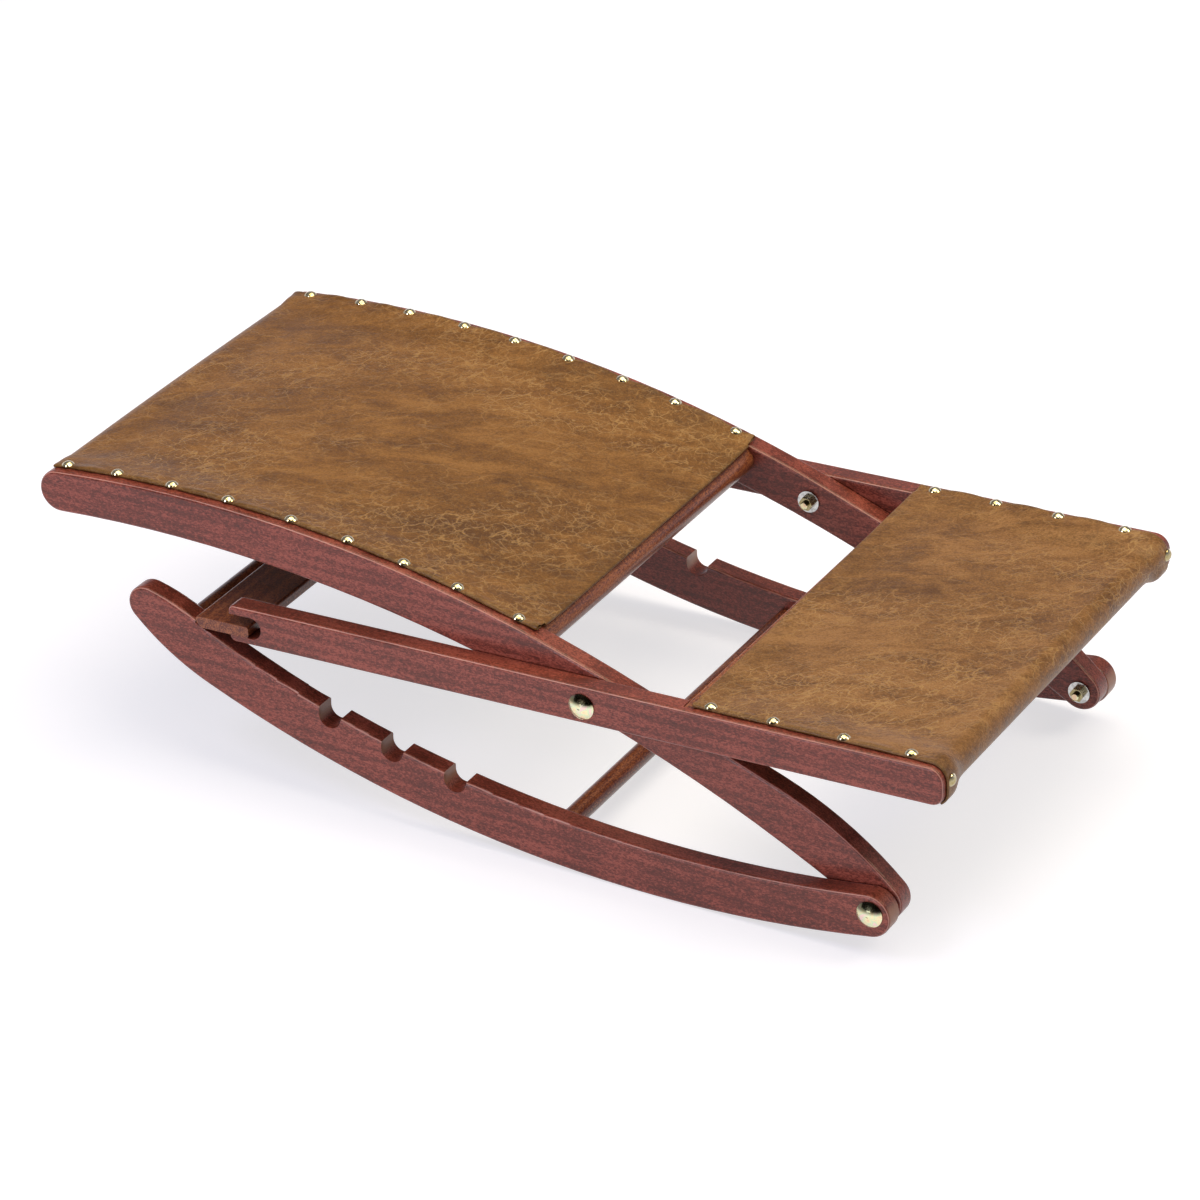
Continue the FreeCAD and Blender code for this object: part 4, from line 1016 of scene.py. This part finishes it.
@dataclass
class FootFrame:
    """Two straight rails with the prop board, their bars and the foot leather with its nails.

    Attributes:
        cross: X and Z of the cross bolts.
        lean: angle of the rails.
        rail_top: height of their top edge over the cross bolts, square to the rails.
        rail_low: height of their lower edge.
        rail_end: distance to their foot end, along the rails.
        top_corner: radius of the end's top corner.
        low_corner: radius of its lower corner.
        bar: distance along and height of the end bar.
        bar_radius: its radius.
        bar_gap: clearance of the leather round it.
        leather_head: where the leather starts, along the rails.
        head_past: how far that end stands past it at the front and at the rear.
        leather_half: half its width.
        rail_inner: where the rails' inner faces are.
        end_angle: angle about the lower corner where the leather ends on the rails.
        wrap_angle: angle about the bar where it ends between them.
        sag: how far the leather hangs in halfway between the rails.
        sag_rise: share of the flat part over which the sag starts.
        sag_fade: share over which it ends.
    """

    cross: Pair = (0.0925, 0.1435)
    lean: float = 2.0
    rail_top: float = 0.0159
    rail_low: float = -0.0143
    rail_end: float = 0.2884
    top_corner: float = 0.012
    low_corner: float = 0.010
    bar: Pair = (0.2742, 0.0004)
    bar_radius: float = 0.011
    bar_gap: float = 0.0002
    leather_head: float = 0.084
    head_past: Pair = (-0.002, 0.003)
    leather_half: float = 0.1965
    rail_inner: float = 0.1844
    end_angle: float = 150.0
    wrap_angle: float = 200.0
    sag: float = 0.0016
    sag_rise: float = 0.15
    sag_fade: float = 0.2

    def out(self, along: float, up: float) -> Pair:
        """X and Z of a point given along the rails and up from the cross bolts."""
        turn = math.radians(self.lean)
        return (self.cross[0] + along * math.cos(turn) - up * math.sin(turn),
                self.cross[1] + along * math.sin(turn) + up * math.cos(turn))

    def build(self, finishes: Finishes) -> None:
        """Dress the frame and make its leather.

        Args:
            finishes: the stool's materials.
        """
        dress(finishes.rails, "foot_rail_front", "foot_rail_rear")
        dress(finishes.bars, "prop_board", "foot_bar_inner", "foot_bar_end")
        dress(finishes.brass, "foot_nails_front", "foot_nails_rear", "foot_end_nails")
        dress(finishes.yellow_zinc, "cross_bolts")
        dress(finishes.brass, "cross_nuts")
        dress(finishes.bright_zinc, "cross_washers")
        # Points along the rails, round their top corner, down their end and round the lower corner.
        flat, turn, drop, tail = 76, 14, 5, 12
        straight = 90.0 - self.lean
        top = self.rail_end - self.top_corner, self.rail_top - self.top_corner
        low = self.rail_end - self.low_corner, self.rail_low + self.low_corner
        start = self.out(self.leather_head, self.rail_top)
        on_rails = Path().line(start, self.out(top[0], self.rail_top), flat)
        on_rails.arc(self.out(*top), self.top_corner, -self.lean, straight, turn)
        on_rails.line(self.out(self.rail_end, top[1]), self.out(self.rail_end, low[1]), drop)
        on_rails.arc(self.out(*low), self.low_corner, straight, self.end_angle, tail)
        between = Path().line(start, self.out(self.bar[0], self.rail_top), flat)
        between.sink(self.hollow)
        between.arc(self.out(*self.bar), self.bar_radius + self.bar_gap, -self.lean, self.wrap_angle,
                    turn + drop + tail)
        end = self.out(self.rail_end, 0.0)[0]
        nails = (nail_places("foot_nails_front") + [end], nail_places("foot_nails_rear") + [end])
        panel = LeatherPanel(
            "foot_leather", Body.FOOT, self.leather_half, self.rail_inner, nails, on_rails, between,
            hemmed=len(on_rails.points), roll_from=flat - 6, slack=(0.032, 0.020),
            turned_at=self.head_past, slip=0.0022, flare=0.0004)
        sheet = panel.build(finishes.sheen_pale_leather)
        panel.flat_size(sheet)

    def hollow(self, share: float) -> float:
        """Depth of the leather halfway between the rails: a dip that then comes down to the bar.

        Args:
            share: place along the flat part.

        Returns:
            The depth.
        """
        dip = self.sag * ease(share / self.sag_rise) * ease((1.0 - share) / self.sag_fade)
        to_bar = self.rail_top - self.bar[1] - self.bar_radius - self.bar_gap
        # This curve is flat for most of the way and again where it meets the bar.
        return dip + to_bar * share ** 5 * (6.0 - 5.0 * share)


# ---- studio

@dataclass
class Studio:
    """Pale floor, soft lamps and the camera.

    Attributes:
        eye, forward, right, lens: the camera's place, directions and focal length in millimetres.
        floor_size, floor_colour: the floor's side and colour.
        floor_lift: light that makes it white outside the shadow.
        daylight, ambient: colour and strength of the all-round light.
        ceiling: strength of what is mirrored from above; it is 1 from the sides.
        ceiling_edge: upward parts of a direction between which that changes.
        warm, cool: colours of the lamps over the stool and in front of it.
        target: what the lamps point at.
        flag_place, flag_size: the black card's middle and side.
    """

    eye: Triple = (1.68331, -3.10046, 2.01889)
    forward: Triple = (-0.420136, 0.772795, -0.475683)
    right: Triple = (0.878558, 0.477635, 0.0)
    lens: float = 157.639
    floor_size: float = 40.0
    floor_colour: Colour = (0.48, 0.48, 0.60)
    floor_lift: float = 0.64
    daylight: Colour = (0.92, 0.90, 1.00)
    ambient: float = 0.26
    ceiling: float = 0.22
    ceiling_edge: Pair = (0.12, 0.42)
    warm: Colour = (1.00, 0.91, 0.62)
    cool: Colour = (0.93, 0.90, 1.00)
    target: Triple = (0.0, 0.0, 0.1)
    flag_place: Triple = (-0.4, -1.6, 2.3)
    flag_size: float = 4.4

    def camera(self) -> None:
        """Put the camera in place."""
        data = bpy.data.cameras.new("camera")
        data.lens = self.lens
        data.clip_end = 100.0
        camera = bpy.data.objects.new("camera", data)
        bpy.context.scene.collection.objects.link(camera)
        back = -Vector(self.forward).normalized()
        side = Vector(self.right).normalized()
        turn = Matrix((side, back.cross(side), back)).transposed().to_4x4()
        camera.matrix_world = Matrix.Translation(self.eye) @ turn
        bpy.context.scene.camera = camera

    def white_to_camera(self, tree: bpy.types.NodeTree) -> Socket:
        """1 for rays that see or mirror the background, and 0 for the light that it gives.

        Args:
            tree: nodes to add it to.

        Returns:
            The value.
        """
        path = tree.nodes.new("ShaderNodeLightPath")
        seen = path.outputs["Is Camera Ray"]
        for ray in ("Is Glossy Ray", "Is Transmission Ray"):
            either = tree.nodes.new("ShaderNodeMath")
            either.operation = "MAXIMUM"
            put(seen, either.inputs[0])
            put(path.outputs[ray], either.inputs[1])
            seen = either.outputs[0]
        return seen

    def world(self) -> None:
        """Soft all-round light under a dim ceiling, and a white background."""
        world = bpy.data.worlds.new("studio")
        bpy.context.scene.world = world
        world.use_nodes = True
        tree = world.node_tree
        parts = tree.nodes.new("ShaderNodeSeparateXYZ")
        feed(parts, Vector=tree.nodes.new("ShaderNodeTexCoord").outputs["Generated"])
        ceiling = tree.nodes.new("ShaderNodeMapRange")
        start, end = self.ceiling_edge
        feed(ceiling, Value=parts.outputs["Z"], From_Min=start, From_Max=end, To_Min=1.0, To_Max=self.ceiling)
        strength = tree.nodes.new("ShaderNodeMix")
        feed(strength, Factor=self.white_to_camera(tree), A=self.ambient, B=ceiling.outputs["Result"])
        feed(tree.nodes["Background"], Color=(*self.daylight, 1.0), Strength=strength.outputs["Result"])

    def floor(self) -> None:
        """Lay the floor."""
        bpy.ops.mesh.primitive_plane_add(size=self.floor_size, location=(0.0, 0.0, 0.0))
        floor = bpy.context.active_object
        floor.name = "floor"
        graph = Graph("white floor")
        strength = graph.math("MULTIPLY", self.white_to_camera(graph.tree), self.floor_lift)
        feed(graph.surface, Base_Color=(*self.floor_colour, 1.0), Roughness=0.9, Specular_IOR_Level=0.1,
             Emission_Color=(1.0, 1.0, 1.0, 1.0), Emission_Strength=strength)
        floor.data.materials.append(graph.material)

    def flag(self) -> None:
        """Stand a black card in front of the stool, which shows only where metal and lacquer mirror it."""
        upright = (math.pi / 2, 0.0, 0.0)
        bpy.ops.mesh.primitive_plane_add(size=self.flag_size, location=self.flag_place, rotation=upright)
        card = bpy.context.active_object
        card.name = "flag"
        graph = Graph("black card")
        feed(graph.surface, Base_Color=(0.01, 0.01, 0.01, 1.0), Roughness=0.9, Specular_IOR_Level=0.0)
        card.data.materials.append(graph.material)
        for ray in ("camera", "diffuse", "transmission", "shadow", "volume_scatter"):
            setattr(card, "visible_" + ray, False)

    def lamp(self, name: str, place: Triple, size: float, power: float, colour: Colour) -> None:
        """Hang a square soft lamp that points at the stool.

        Args:
            name: its name.
            place: where it hangs.
            size: its side.
            power: its output in watts.
            colour: its colour.
        """
        data = bpy.data.lights.new(name, "AREA")
        data.size = size
        data.energy = power
        data.color = colour
        lamp = bpy.data.objects.new(name, data)
        bpy.context.scene.collection.objects.link(lamp)
        lamp.location = place
        aim = Vector(self.target) - Vector(place)
        lamp.rotation_euler = aim.to_track_quat("-Z", "Y").to_euler()

    def build(self) -> None:
        """Set up the whole studio."""
        self.camera()
        self.world()
        self.floor()
        self.flag()
        self.lamp("overhead", place=(0.1, 0.3, 2.8), size=2.6, power=64.0, colour=self.warm)
        self.lamp("key", place=(1.9, 0.8, 2.1), size=1.0, power=22.0, colour=self.warm)
        self.lamp("sparkle", place=(-1.05, -1.25, 1.95), size=0.6, power=8.0, colour=self.cool)
        self.lamp("fill", place=(-0.4, -2.6, 0.40), size=0.75, power=25.0, colour=self.cool)


def main() -> None:
    """Build the scene."""
    logging.basicConfig(level=logging.INFO, format="%(message)s")
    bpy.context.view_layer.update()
    bpy.ops.object.select_all(action="DESELECT")
    bpy.context.scene.view_settings.view_transform = "Standard"
    finishes = Finishes()
    Studio().build()
    for part in (RockerBase(), SeatFrame(), FootFrame()):
        part.build(finishes)


if __name__ == "__main__":
    main()
